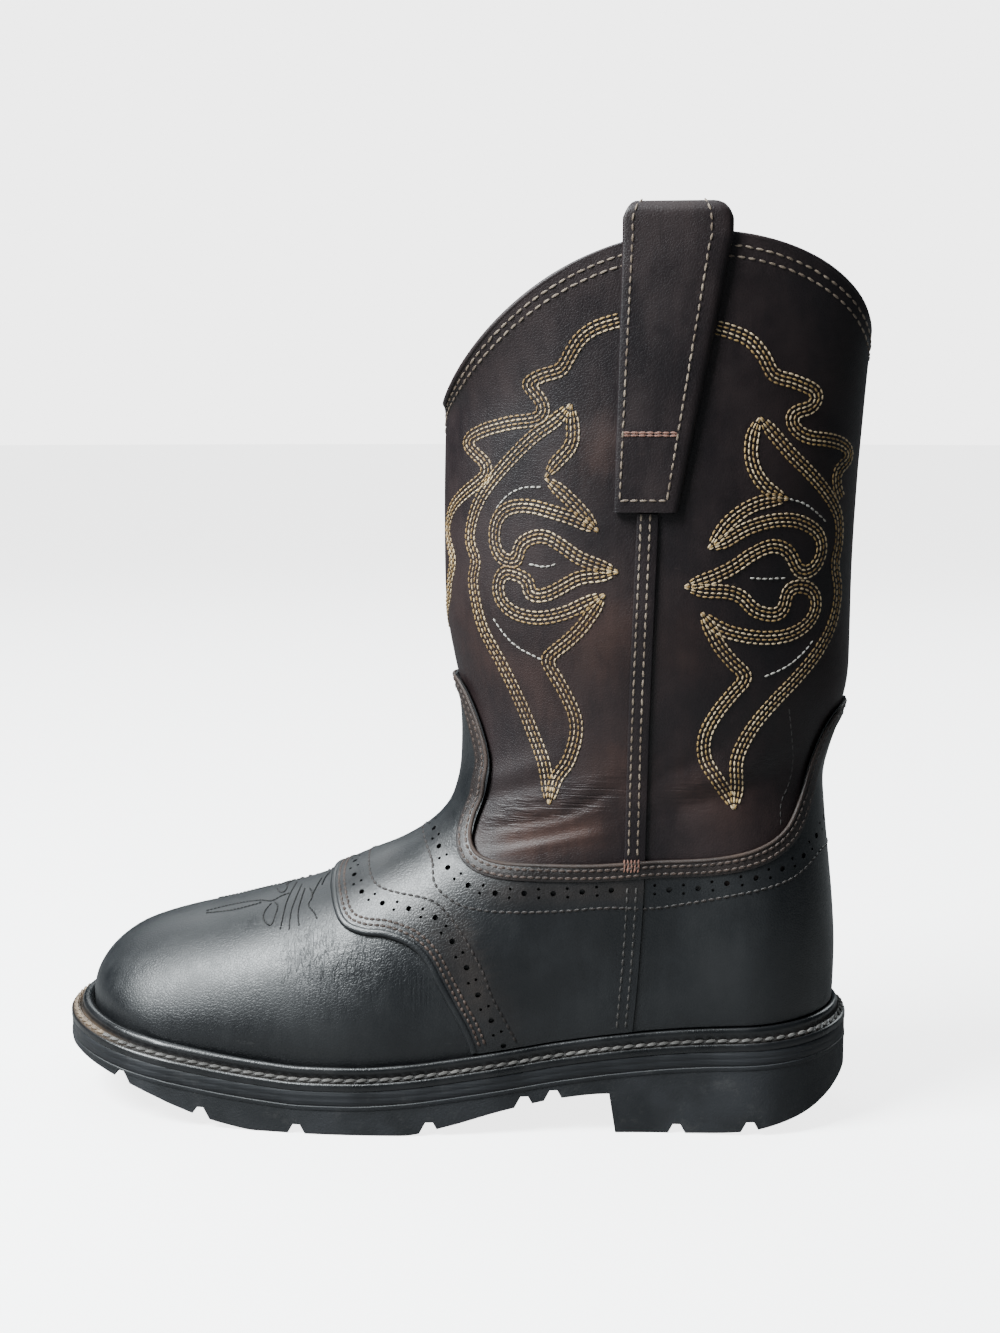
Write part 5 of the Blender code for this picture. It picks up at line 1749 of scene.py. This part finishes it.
@dataclass
class Sole:
    """Storm welt with its bead, midsole, lugged outsole and insole."""

    skin: LeatherSkin
    wardrobe: Wardrobe
    steps: int = 110
    welt_thickness: float = 0.0042
    welt_inner_reach: float = 0.0045
    bead_height: float = 0.0040
    bead_share: float = 0.50
    midsole_thickness: float = 0.0056
    ledge_fall: float = 0.0012
    layer_step: float = 0.0002
    insole_thickness: float = 0.0035
    insole_clearance: float = 0.0014
    wall: float = 0.0022
    lug_depth: float = 0.0034
    lug_gap: float = 0.0034
    lug_reach: float = 0.0190
    lip_height: float = 0.0016
    chamfer: float = 0.0010
    seam: float = 0.00004
    worn_toe: float = 0.085
    stitch_pitch: float = 0.0044
    stitch_size: tuple = (0.0041, 0.0017, 0.0016)
    stitch_slant: float = 0.28
    edge_grooves: tuple = (0.108, 0.213, 0.335, 0.497, 0.611, 0.646, 0.795, 0.884)
    tread_grooves: tuple = (0.160, 0.274, 0.400, 0.840)
    long_grooves: tuple = ((0.105, 0.490), (0.745, 0.925))

    def build(self) -> None:
        """Builds every layer of the sole."""
        self._welt()
        self._midsole()
        self._outsole()
        self._insole()

    def outline(self, reach: object, up: float = 0.0) -> np.ndarray:
        """Closed outline round the upper, up above its feather edge and moved out by reach(along)."""
        shape = self.skin.shape
        shares = []
        for edge in (shape.front, shape.back):
            shares.append(float(np.interp(edge[0, 1] + up, edge[:, 1], np.linspace(0, 1, len(edge)))))
        inside = shape.ring(*shares, self.steps)
        way = (np.roll(inside, -1, axis=0) - np.roll(inside, 1, axis=0))[:, :2]
        out = unit(np.stack([way[:, 1], -way[:, 0]], axis=1))
        return inside[:, :2] + out * np.asarray(reach(shape.along_at(inside[:, 0])))[:, None]

    def layer(self, reach: object, drop: float, up: float = 0.0) -> np.ndarray:
        """One loop of a layer, a drop below the welt's upper face."""
        flat = self.outline(reach, up)
        return np.column_stack([flat, self.skin.shape.seat(flat[:, 0]) - drop])

    def welt_reach(self, extra: float = 0.0, share: float = 1.0) -> object:
        """The welt's reach beyond the upper as a function of the way along the foot."""
        return lambda along: self.skin.shape.plan(3, along) * share + extra

    def fixed(self, distance: float) -> object:
        """One distance everywhere."""
        return lambda along: np.full_like(along, distance)

    def _filled(self, loop: np.ndarray) -> list:
        """Loops that close a layer across the foot, from its edge to the middle line."""
        opposite = np.roll(loop[::-1], 1, axis=0)
        middle = (loop + opposite) / 2
        return [loop + (middle - loop) * share for share in (0.08, 0.3, 0.65, 1.0)]

    def _solid(self, name: str, loops: list) -> Piece:
        """A slab from loops, closed across the foot above and below."""
        rows = self._filled(loops[0])[::-1] + loops + self._filled(loops[-1])
        return Bench.sheet(name, np.array(rows), round_way=True)

    def _welt(self) -> None:
        """Stitched ledge with a round bead against the upper."""
        loops = [
            self.layer(self.fixed(-self.welt_inner_reach), self.welt_thickness),
            self.layer(self.welt_reach(-0.0002), self.welt_thickness),
            self.layer(self.welt_reach(), self.welt_thickness - 0.0002),
            self.layer(self.welt_reach(), self.ledge_fall + 0.0009),
            self.layer(self.welt_reach(-0.0003), self.ledge_fall + 0.0003),
            self.layer(self.welt_reach(-0.0009), self.ledge_fall),
            self.layer(self.welt_reach(0.0, 0.90), self.ledge_fall * 0.75),
            self.layer(self.welt_reach(0.0, 0.66), 0.0),
            self.layer(self.welt_reach(0.0, 0.59), 0.0005),
        ]
        for angle in np.linspace(-0.25, math.pi, 13):
            out = 0.5 + 0.5 * math.cos(angle)
            up = self.bead_height * (0.36 + 0.64 * math.sin(angle))
            loops.append(self.layer(self.welt_reach(GAP, out * self.bead_share), -up, up))
        loops.append(self.layer(self.fixed(-self.welt_inner_reach), 0.0))
        welt = Bench.sheet("storm_welt", np.array(loops), round_way=True, closed_rows=True)
        self._wear(welt)
        Bench.finish(welt, [self.wardrobe.welt], Slot.WELT, ("welt",), angle=42)
        self._welt_stitches()

    def _wear(self, welt: Piece) -> None:
        """Marks the ledge, mostly at the toe, where the rubber has turned pale."""
        shape, flat = self.skin.shape, np.empty(len(welt.data.vertices) * 3)
        welt.data.vertices.foreach_get("co", flat)
        x, z = flat[::3], flat[2::3]
        drop = shape.seat(x) - z
        ledge = (drop > -0.0003) & (drop < self.ledge_fall + 0.0001)
        fade = ease(self.worn_toe * 0.6, self.worn_toe * 1.6, shape.along_at(x))
        share = ledge * (0.12 + 0.88 * (1 - fade))
        stored = welt.data.attributes.new("paleness", "FLOAT", "POINT")
        stored.data.foreach_set("value", share.astype(np.float32))

    def _welt_stitches(self) -> None:
        """Thick stitches along the ledge, each laid a little askew as a lockstitch is."""
        line = self.layer(self.welt_reach(0.0, 0.80), self.ledge_fall * 0.25)
        line = evenly(np.concatenate([line, line[:1]]), self.stitch_pitch)
        spots = (line[:-1] + line[1:]) / 2
        ahead = unit(np.diff(line, axis=0))
        up = np.array([0.0, 0.0, 1.0])
        across = unit(np.cross(up, ahead))
        askew = unit(ahead + across * self.stitch_slant)
        ways = (askew, unit(np.cross(up, askew)), np.tile(up, (len(spots), 1)))
        axes = np.stack([way * size for way, size in zip(ways, self.stitch_size)], axis=1)
        model = Stitcher(self.skin, self.wardrobe).model
        toe = self.skin.shape.along_at(spots[:, 0]) < self.worn_toe
        for name, which, yarn in (("toe_welt_stitches", toe, Yarn.TAN), ("welt_stitches", ~toe, Yarn.GREY)):
            stitches = Bench.repeated(name, model, spots[which], axes[which])
            Bench.finish(stitches, [self.wardrobe.threads[yarn]], Slot.WELT)

    def _midsole(self) -> None:
        """Slab under the welt whose middle fills the space inside it."""
        top = self.welt_thickness + self.seam
        bottom = top + self.midsole_thickness
        edge, soft = self.welt_reach(-self.layer_step), 0.00012
        inside = self.fixed(-(self.welt_inner_reach + GAP))
        loops = [
            self.layer(self.welt_reach(-self.layer_step - soft), bottom),
            self.layer(edge, bottom - soft),
            self.layer(edge, (top + bottom) / 2 + 0.0003),
            self.layer(self.welt_reach(-self.layer_step - 0.0001), (top + bottom) / 2),
            self.layer(edge, (top + bottom) / 2 - 0.0003),
            self.layer(edge, top + soft),
            self.layer(self.welt_reach(-self.layer_step - soft), top),
            self.layer(inside, top),
            self.layer(inside, 0.0),
        ]
        slab = self._solid("midsole_slab", loops)
        Bench.finish(slab, [self.wardrobe.midsole], Slot.SOLE, ("midsole",), angle=50)

    def _insole(self) -> None:
        """Insole inside the upper."""
        edge = -(self.wall + self.insole_clearance)
        high = -(GAP + self.insole_thickness)
        loops = [
            self.layer(self.fixed(edge), -GAP),
            self.layer(self.fixed(edge), high + self.chamfer),
            self.layer(self.fixed(edge - self.chamfer * 0.3), high + self.chamfer * 0.3),
            self.layer(self.fixed(edge - self.chamfer), high),
        ]
        board = self._solid("insole_board", loops)
        Bench.finish(board, [self.wardrobe.lining], Slot.LINING, ("insole",), angle=50)

    def _outsole(self) -> None:
        """Outsole and heel in one moulding, with grooves between its lugs."""
        shape = self.skin.shape
        top = self.welt_thickness + self.midsole_thickness + 2 * self.seam
        base = self.layer(self.welt_reach(-self.layer_step), 0.0)
        base[:, 2] = 0
        lip = top + self.lip_height
        loops = [
            base,
            self.layer(self.welt_reach(-self.layer_step), lip + self.layer_step),
            self.layer(self.welt_reach(-self.layer_step * 0.2), lip + self.layer_step * 0.4),
            self.layer(self.welt_reach(), lip),
            self.layer(self.welt_reach(), top + 0.0003),
            self.layer(self.welt_reach(-0.0003), top),
        ]
        outsole = self._solid("lugged_outsole", loops)
        for line in self._underside():
            block = Bench.block("underside", np.array(line), -shape.ball_width, shape.ball_width)
            Bench.carve(outsole, block, "DIFFERENCE")
        Bench.carve(outsole, self._bars(self._edge_places()), "DIFFERENCE")
        Bench.carve(outsole, self._bars(self._tread_places()), "DIFFERENCE")
        for start, end in self.long_grooves:
            for side in Side:
                Bench.carve(outsole, self._long_groove(start, end, side), "DIFFERENCE")
        Bench.finish(outsole, [self.wardrobe.outsole], Slot.SOLE, ("outsole",), angle=30)

    def _underside(self) -> list:
        """Side outlines of what is cut away under the toe, the arch and the back of the heel."""
        shape, below = self.skin.shape, -2 * self.lug_depth
        flat = [row[0] for row in shape.sole_rows if row[2] == 0]
        heel_end = float(shape.x_at(1)) + 0.012
        lines = []
        for start, end, count in ((0, flat[0], 40), (flat[-1], shape.heel_breast, 40), (0.8, 1.0, 24)):
            x = np.linspace(shape.x_at(start), shape.x_at(end), count)
            lines.append([(float(a), float(b)) for a, b in zip(x, shape.tread(x))])
        toe, arch, strike = lines
        toe_end = toe[0][0] - shape.ball_width
        return [
            [(toe_end, below), (toe_end, toe[0][1])] + toe + [(toe[-1][0], below)],
            [(arch[0][0], below)] + arch + [(arch[-1][0] + shape.breast_lean, below)],
            [(strike[0][0], below)] + strike + [(heel_end, strike[-1][1]), (heel_end, below)],
        ]

    def _edge_places(self) -> list:
        """X, Y and length of the notches in both edges."""
        shape, places = self.skin.shape, []
        for along in self.edge_grooves:
            for side in Side:
                middle = shape.heel_middle * shape.ball_width + float(shape.plan(2, along))
                edge = middle + side.value * float(shape.plan(1, along))
                places.append((float(shape.x_at(along)), edge, 2 * self.lug_reach))
        return places

    def _tread_places(self) -> list:
        """X, Y and length of the bars across the middle of the tread."""
        shape, places = self.skin.shape, []
        for along in self.tread_grooves:
            middle = shape.heel_middle * shape.ball_width + float(shape.plan(2, along))
            places.append((float(shape.x_at(along)), middle, 1.05 * float(shape.plan(1, along))))
        return places

    def _bars(self, places: list) -> Piece:
        """Tapered bars along Y, each reaching the lug's depth above the tread."""
        Bench.clear()
        bpy.ops.mesh.primitive_cube_add(size=1, location=(0, 0, 0))
        bar = bpy.context.object
        for vertex in bar.data.vertices:
            vertex.co.x *= 0.82 if vertex.co.z > 0 else 3.0
        model = Bench.taken(bar)
        table = np.array(places)
        table = np.column_stack([table, self.skin.shape.tread(table[:, 0])])
        axes = [np.diag([self.lug_gap, row[2], 2 * self.lug_depth]) for row in table]
        bars = Bench.repeated("lug_bars", model, table[:, (0, 1, 3)], np.array(axes))
        Bench.tidy(bars)
        return bars

    def _long_groove(self, start: float, end: float, side: Side) -> Piece:
        """A groove along the foot, between the edge lugs and the bars in the middle."""
        shape, rows = self.skin.shape, []
        mouth, top = self.lug_gap * 1.45 / 2, self.lug_gap * 0.75 / 2
        for along in np.linspace(start, end, 24):
            x = float(shape.x_at(along))
            middle = shape.heel_middle * shape.ball_width + float(shape.plan(2, along))
            y = middle + side.value * (float(shape.plan(1, along)) - self.lug_reach)
            low, high = float(shape.tread(x)) - self.lug_depth, float(shape.tread(x)) + self.lug_depth
            rows.append([(x, y - mouth, low), (x, y + mouth, low), (x, y + top, high), (x, y - top, high)])
        grid = np.array(rows)
        ends = [np.repeat(grid[i].mean(axis=0)[None], 4, axis=0)[None] for i in (0, -1)]
        return Bench.sheet("long_groove", np.concatenate([ends[0], grid, ends[1]]), round_way=True)


class Thread(Enum):
    """Thread of a pattern line."""

    FOUR_ROWS = "four rows, bronze outside and beige inside"
    ONE_WHITE = "one white row"
    BORDER = "four rows that don't narrow"


@dataclass(frozen=True)
class PatternLine:
    """One line of the sewn scrolls, drawn on the photograph."""

    pixels: tuple
    thread: Thread = Thread.FOUR_ROWS


@dataclass
class Sewing:
    """All visible stitching but the welt's, which the sole sews: scrolls, seams, collar, overlays, straps,
    toe, back panel and bar tacks.
    """

    skin: LeatherSkin
    wardrobe: Wardrobe
    saddle_top: float = 0.0018
    counter_top: float = 0.0012
    seam_top: float = 0.0012
    row_spacing: float = 0.00150
    border_fall: float = 0.0120
    shaft_top: float = 0.0001
    strip_thickness: float = 0.0005
    tip_length: float = 0.0065
    tip_cut: int = 3
    collar_rows: tuple = (0.0042, 0.0080)
    seam_insets: tuple = (0.0031, 0.0064)
    top_line_rows: tuple = (0.0016, 0.0044)
    saddle_edge_rows: tuple = (0.0026, 0.0048)
    tack_columns: tuple = (624, 638)
    scroll_steps: tuple = ((-1.5, Yarn.BRONZE), (-0.5, Yarn.BEIGE), (0.5, Yarn.BRONZE), (1.5, Yarn.BEIGE))
    scroll_pitch: float = 0.0024
    scroll_stitch: tuple = (0.0020, 0.00074, 0.0007)
    collar: RowKind = RowKind("collar_stitches", Yarn.SEAM, Slot.SHAFT, 0.0038, (0.0030, 0.0009, 0.0007))
    side_seam: RowKind = RowKind(
        "side_seam_stitches", Yarn.SEAM, Slot.SHAFT, 0.0036, (0.0028, 0.0009, 0.0007)
    )
    foot_seam: RowKind = RowKind(
        "foot_seam_stitches", Yarn.FAINT, Slot.FOOT, 0.0034, (0.0026, 0.0009, 0.0007)
    )
    top_line: RowKind = RowKind("top_line_stitches", Yarn.BROWN, Slot.FOOT, 0.0028, (0.0026, 0.0013, 0.0010))
    band: RowKind = RowKind("saddle_band_stitches", Yarn.DARK, Slot.FOOT, 0.0028, (0.0025, 0.0011, 0.0008))
    edge: RowKind = RowKind("saddle_edge_stitches", Yarn.BROWN, Slot.FOOT, 0.0024, (0.0023, 0.0012, 0.0009))
    strap: RowKind = RowKind("pull_strap_stitches", Yarn.SEAM, Slot.SHAFT, 0.0036, (0.0029, 0.0009, 0.0008))
    cross: RowKind = RowKind(
        "pull_strap_cross_stitches", Yarn.RUST, Slot.SHAFT, 0.0030, (0.0029, 0.0009, 0.0008)
    )
    toe: RowKind = RowKind("toe_stitches", Yarn.BLACK, Slot.FOOT, 0.0016, (0.0015, 0.0008, 0.0008))
    panel: RowKind = RowKind("back_panel_stitches", Yarn.FAINT, Slot.SHAFT, 0.0030, (0.0024, 0.0005, 0.0003))
    tack: RowKind = RowKind("bar_tacks", Yarn.RUST, Slot.FOOT, 0.0015, (0.0021, 0.0008, 0.0007))
    front_scroll: tuple = (
        PatternLine(
            ((620, 320), (597, 327), (580, 339), (568, 358), (561, 370), (544, 375), (528, 384), (537, 395),
             (544, 409), (537, 419), (510, 423), (482, 431), (467, 442), (476, 454), (486, 464), (485, 476),
             (465, 493), (453, 507), (448, 525), (449, 541), (453, 561), (450, 578), (449, 595)),
            Thread.BORDER,
        ),
        PatternLine(
            ((571, 404), (556, 420), (533, 437), (507, 463), (484, 492), (473, 518), (470, 541), (476, 561),
             (473, 578), (476, 601), (484, 630), (502, 664), (519, 699), (533, 733), (545, 767), (549, 805))
        ),
        PatternLine(((571, 404), (573, 429), (571, 446), (556, 463), (545, 478))),
        PatternLine(((545, 478), (565, 495), (579, 509), (591, 523), (599, 532))),
        PatternLine(
            ((599, 532), (579, 521), (556, 513), (528, 506), (507, 509), (496, 523), (495, 544), (502, 558),
             (516, 561), (519, 549), (525, 541), (542, 536), (559, 544), (579, 558), (602, 567), (619, 572))
        ),
        PatternLine(
            ((619, 572), (602, 575), (579, 578), (562, 587), (545, 595), (530, 594), (528, 581), (507, 572),
             (499, 581), (500, 598), (513, 612), (536, 618), (562, 614), (585, 604), (605, 594))
        ),
        PatternLine(
            ((605, 594), (594, 610), (582, 627), (568, 641), (553, 653), (547, 660), (553, 672), (565, 693),
             (575, 716), (576, 736), (568, 762), (556, 779), (549, 805))
        ),
        PatternLine(((496, 509), (507, 496), (522, 488), (542, 487)), Thread.ONE_WHITE),
        PatternLine(((493, 618), (505, 635), (519, 648), (542, 660)), Thread.ONE_WHITE),
        PatternLine(((529, 564), (545, 567), (556, 564)), Thread.ONE_WHITE),
    )
    back_scroll: tuple = (
        PatternLine(
            ((716, 327), (735, 333), (751, 341), (765, 358), (774, 375), (793, 381), (816, 392), (813, 406),
             (793, 414), (795, 428), (808, 437), (830, 440), (844, 445), (850, 456), (838, 471), (837, 485),
             (841, 499)),
            Thread.BORDER,
        ),
        PatternLine(
            ((760, 417), (774, 434), (792, 455), (809, 472), (826, 492), (838, 515), (839, 541), (835, 564),
             (838, 592), (832, 624), (817, 653), (794, 681), (772, 704), (751, 730), (737, 759), (737, 788),
             (734, 810))
        ),
        PatternLine(((760, 417), (753, 434), (751, 455), (757, 475), (772, 492), (789, 499))),
        PatternLine(((789, 499), (766, 501), (746, 509), (728, 523), (717, 538), (708, 549))),
        PatternLine(
            ((708, 549), (726, 541), (746, 529), (772, 521), (797, 521), (817, 532), (822, 549), (815, 567),
             (800, 572), (789, 552), (772, 546), (751, 555), (734, 567), (711, 578), (684, 587))
        ),
        PatternLine(
            ((684, 587), (705, 591), (728, 592), (743, 598), (754, 610), (772, 615), (783, 610), (789, 590),
             (806, 587), (816, 598), (812, 618), (794, 633), (769, 638), (740, 635), (717, 627), (701, 612))
        ),
        PatternLine(
            ((701, 612), (711, 630), (720, 647), (734, 664), (746, 677), (734, 692), (717, 713), (705, 736),
             (705, 759), (717, 779), (728, 796), (734, 810))
        ),
        PatternLine(((789, 499), (803, 503), (816, 512), (826, 522)), Thread.ONE_WHITE),
        PatternLine(((813, 640), (803, 653), (786, 667), (764, 677)), Thread.ONE_WHITE),
        PatternLine(((749, 578), (766, 579), (786, 578)), Thread.ONE_WHITE),
    )
    toe_rows: tuple = (
        ((206, 911), (225, 906), (245, 902), (261, 900), (272, 901), (281, 896), (290, 893)),
        ((206, 913), (232, 910), (256, 904), (262, 902)),
        ((272, 903), (266, 909), (263, 917), (266, 923), (271, 926), (275, 916), (278, 906), (275, 902)),
        ((277, 888), (279, 892), (283, 893), (287, 889), (288, 883)),
        ((297, 882), (291, 892), (286, 904), (283, 916), (280, 930)),
        ((302, 884), (297, 895), (292, 908), (290, 918), (289, 930)),
        ((305, 888), (301, 900), (298, 912), (299, 926)),
        ((310, 888), (313, 896), (308, 905), (314, 912), (317, 919)),
        ((322, 878), (318, 884), (315, 890), (311, 897)),
        ((330, 872), (325, 878), (322, 885)),
    )
    back_panel_line: tuple = ((789, 708), (792, 739), (793, 763), (789, 784), (781, 803), (781, 826))
    lower_band_line: tuple = (
        (435, 866), (436, 885), (451, 900), (469, 908), (503, 912), (555, 911), (608, 907), (650, 908),
        (693, 902), (733, 895), (762, 889), (789, 879), (805, 866), (820, 847),
    )
    saddle_rear_line: tuple = (
        (375, 842), (371, 864), (375, 883), (386, 891), (402, 895), (420, 898), (436, 903), (449, 915),
        (463, 935), (475, 956), (484, 974), (491, 994), (502, 1015), (516, 1041),
    )

    def build(self) -> None:
        """Sews everything."""
        stitcher = Stitcher(self.skin, self.wardrobe)
        self._scrolls(stitcher)
        lines = [self.skin.below_collar(distance) for distance in self.collar_rows]
        stitcher.sewn(self.collar, lines, self.shaft_top)
        self._seams(stitcher)
        self._foot(stitcher)
        self._straps(stitcher)
        self._small(stitcher)

    def _scrolls(self, stitcher: Stitcher) -> None:
        """Sews the scrolls of all four panels."""
        for place, scroll in (("front", self.front_scroll), ("back", self.back_scroll)):
            rows = {Yarn.BRONZE: [], Yarn.BEIGE: [], Yarn.WHITE: []}
            for line in scroll:
                outer = self.skin.drawn(line.pixels)
                if line.thread is Thread.BORDER and place == "front":
                    outer = np.concatenate([outer, self._to_ridge(outer[-1])])
                for whole in (outer, self.skin.mirrored(outer)):
                    if line.thread is Thread.ONE_WHITE:
                        rows[Yarn.WHITE].append(whole)
                        continue
                    taper = self.tip_length if line.thread is Thread.FOUR_ROWS else 0.0
                    for step, yarn in self.scroll_steps:
                        moved = stitcher.beside(whole, step * self.row_spacing, taper)
                        cut = self.tip_cut if taper and abs(step) > 1 else 0
                        rows[yarn].append(moved[cut : len(moved) - cut])
            for yarn, lines in rows.items():
                name = f"{place}_scroll_{yarn.name.lower()}_stitches"
                kind = RowKind(name, yarn, Slot.SHAFT, self.scroll_pitch, self.scroll_stitch)
                stitcher.sewn(kind, lines, self.shaft_top)

    def _to_ridge(self, start: np.ndarray) -> np.ndarray:
        """The rest of the front border, from where it leaves the photograph to the middle of the front."""
        shape = self.skin.shape
        z = start[2] - self.border_fall
        x = float(np.interp(z, shape.front[:, 1], shape.front[:, 0]))
        end = np.array([x, float(shape.middle(start[0], z)), z])
        return start + (end - start) * np.linspace(0.1, 1.0, 9)[:, None]

    def _seams(self, stitcher: Stitcher) -> None:
        """Two rows down each side seam, on the shaft and on the foot."""
        shape, shaft, foot = self.skin.shape, [], []
        for side in Side:
            for inset in self.seam_insets:
                levels = np.linspace(shape.z_at(0.228), strap_foot(shape), 60)
                shaft.append(shape.on_side(seam_x(self.skin, levels) - inset, levels, side))
                levels = np.linspace(shape.z_at(0.0) + 0.001, shape.z_at(0.190), 40)
                foot.append(shape.on_side(seam_x(self.skin, levels) - inset, levels, side))
        stitcher.sewn(self.side_seam, shaft, self.seam_top)
        stitcher.sewn(self.foot_seam, foot, self.saddle_top)

    def _straps(self, stitcher: Stitcher) -> None:
        """Rows on both pull straps."""
        plain, crossing = [], []
        for side in Side:
            rows, cross = PullStrap(self.skin, self.wardrobe, side).rows()
            plain += rows
            crossing += cross
        stitcher.laid(self.strap, plain)
        stitcher.laid(self.cross, crossing)

    def _both(self, lines: list) -> list:
        """Lines of the photograph on the outer side, each followed by its copy on the inner side."""
        outer = [self.skin.drawn(pixels) for pixels in lines]
        return [each for line in outer for each in (line, self.skin.mirrored(line))]

    def _small(self, stitcher: Stitcher) -> None:
        """Toe rows, back panel row and the bar tacks where the seam meets the top line."""
        stitcher.sewn(self.toe, self._both(self.toe_rows), self.shaft_top)
        stitcher.sewn(self.panel, self._both([self.back_panel_line]), 0.0)
        tacks = [((x, 859), (x + 0.8, 865), (x - 0.6, 871)) for x in np.linspace(*self.tack_columns, 5)]
        stitcher.sewn(self.tack, self._both(tacks), self.saddle_top + 0.0006)

    def leather_top(self, spots: np.ndarray) -> np.ndarray:
        """Height of the saddle's or the counter's face over the skin at places of a row."""
        return softened(np.where(on_saddle(self.skin, spots), self.saddle_top, self.counter_top), 2)

    def strip_top(self, spots: np.ndarray) -> np.ndarray:
        """Height of the brown strip's face over the skin at places of a row."""
        return self.leather_top(spots) + self.strip_thickness

    def _foot(self, stitcher: Stitcher) -> None:
        """Rows on the saddle, the counter and the brown strip."""
        outer = evenly(self.skin.wrap(TOP_LINE), EDGE_PITCH)
        loop = np.concatenate([outer, self.skin.mirrored(outer)[::-1], outer[:1]])
        rows = [stitcher.beside(loop, -distance) for distance in self.top_line_rows]
        stitcher.sewn(self.top_line, rows, self.strip_top)
        lower = self.skin.over_ridge(self.skin.drawn(self.lower_band_line), back_too=True)
        rear = self.skin.over_ridge(self.skin.drawn(self.saddle_rear_line))
        stitcher.sewn(self.band, [lower, rear], self.leather_top)
        front = evenly(self.skin.wrap(SADDLE_FRONT), EDGE_PITCH)
        front = front[front[:, 2] > self.skin.shape.seat(front[:, 0]) + 0.006]
        edge = self.skin.over_ridge(front)
        rows = [stitcher.beside(edge, distance) for distance in self.saddle_edge_rows]
        stitcher.sewn(self.edge, rows, self.saddle_top)


@dataclass
class Studio:
    """Pale floor, soft lights and pale surroundings."""

    floor_size: float = 14.0
    floor_bounce: float = 0.16
    floor_tone: float = 0.9
    floor_glow: float = 3.4
    surround_tint: tuple = (0.55, 0.80, 1.0, 1.0)
    surround_light: float = 0.062
    backdrop_light: float = 4.2
    lamp_colour: tuple = (0.92, 0.98, 1.0)
    # Name, place, size in metres and power in watts of each light.
    lamps: tuple = (
        ("key_light", (-0.74, -0.56, 1.18), 0.60, 66.0),
        ("side_light", (-1.20, -1.00, 0.85), 0.8, 12.0),
        ("rear_light", (-0.6, 1.4, 1.5), 1.2, 18.0),
        ("top_light", (-0.1, 0.1, 1.9), 1.0, 10.0),
        ("heel_light", (1.2, 1.3, 1.2), 1.0, 16.0),
    )

    def build(self) -> None:
        """Builds the stage."""
        Bench.clear()
        place = {"radius": self.floor_size, "location": (0, 0, -0.0002)}
        bpy.ops.mesh.primitive_circle_add(vertices=96, fill_type="NGON", **place)
        floor = bpy.context.object
        floor.name = "studio_floor"
        material = bpy.data.materials.new("studio_floor")
        material.use_nodes = True
        shader = material.node_tree.nodes["Principled BSDF"]
        shader.inputs["Roughness"].default_value = 0.9
        shader.inputs["Emission Color"].default_value = (1.0, 1.0, 1.0, 1)
        nodes = material.node_tree.nodes
        seen = nodes.new("ShaderNodeLightPath").outputs["Is Camera Ray"]
        tone, glow = (self.floor_bounce, self.floor_tone), (0.0, self.floor_glow)
        for socket, (low, high) in (("Base Color", tone), ("Emission Strength", glow)):
            level = nodes.new("ShaderNodeMapRange")
            level.inputs["To Min"].default_value = low
            level.inputs["To Max"].default_value = high
            material.node_tree.links.new(seen, level.inputs["Value"])
            material.node_tree.links.new(level.outputs["Result"], shader.inputs[socket])
        floor.data.materials.append(material)
        for lamp in self.lamps:
            self._lamp(*lamp)
        self._surroundings()

    def _surroundings(self) -> None:
        """White backdrop to the eye, with less light of its own on the boot."""
        world = bpy.data.worlds.new("studio_surroundings")
        world.use_nodes = True
        nodes = world.node_tree.nodes
        backdrop = nodes["Background"]
        path = nodes.new("ShaderNodeLightPath")
        tint = nodes.new("ShaderNodeMix")
        tint.data_type = "RGBA"
        tint.inputs[6].default_value = self.surround_tint
        tint.inputs[7].default_value = (1.0, 1.0, 1.0, 1)
        world.node_tree.links.new(path.outputs["Is Camera Ray"], tint.inputs[0])
        world.node_tree.links.new(tint.outputs[2], backdrop.inputs["Color"])
        level = nodes.new("ShaderNodeMapRange")
        level.inputs["To Min"].default_value = self.surround_light
        level.inputs["To Max"].default_value = self.backdrop_light
        world.node_tree.links.new(path.outputs["Is Camera Ray"], level.inputs["Value"])
        world.node_tree.links.new(level.outputs["Result"], backdrop.inputs["Strength"])
        bpy.context.scene.world = world

    def _lamp(self, name: str, place: tuple, size: float, power: float) -> None:
        """A soft square light that looks at the boot."""
        data = bpy.data.lights.new(name, "AREA")
        data.size = size
        data.energy = power
        data.color = self.lamp_colour
        lamp = bpy.data.objects.new(name, data)
        bpy.context.scene.collection.objects.link(lamp)
        lamp.location = place
        aim = Vector((0.0, 0.0, 0.15)) - Vector(place)
        lamp.rotation_euler = aim.to_track_quat("-Z", "Y").to_euler()


def main() -> None:
    """Builds the boot, its stage, its lights and its camera."""
    logging.basicConfig(level=logging.INFO, format="%(message)s")
    camera = PhotoCamera()
    camera.build()
    shape = BootShape()
    skin = LeatherSkin(shape, camera)
    wardrobe = Wardrobe()
    Upper(skin, wardrobe).build()
    Overlays(skin, wardrobe).build()
    for side in Side:
        PullStrap(skin, wardrobe, side).build()
    Sole(skin, wardrobe).build()
    Sewing(skin, wardrobe).build()
    Studio().build()


if __name__ == "__main__":
    main()
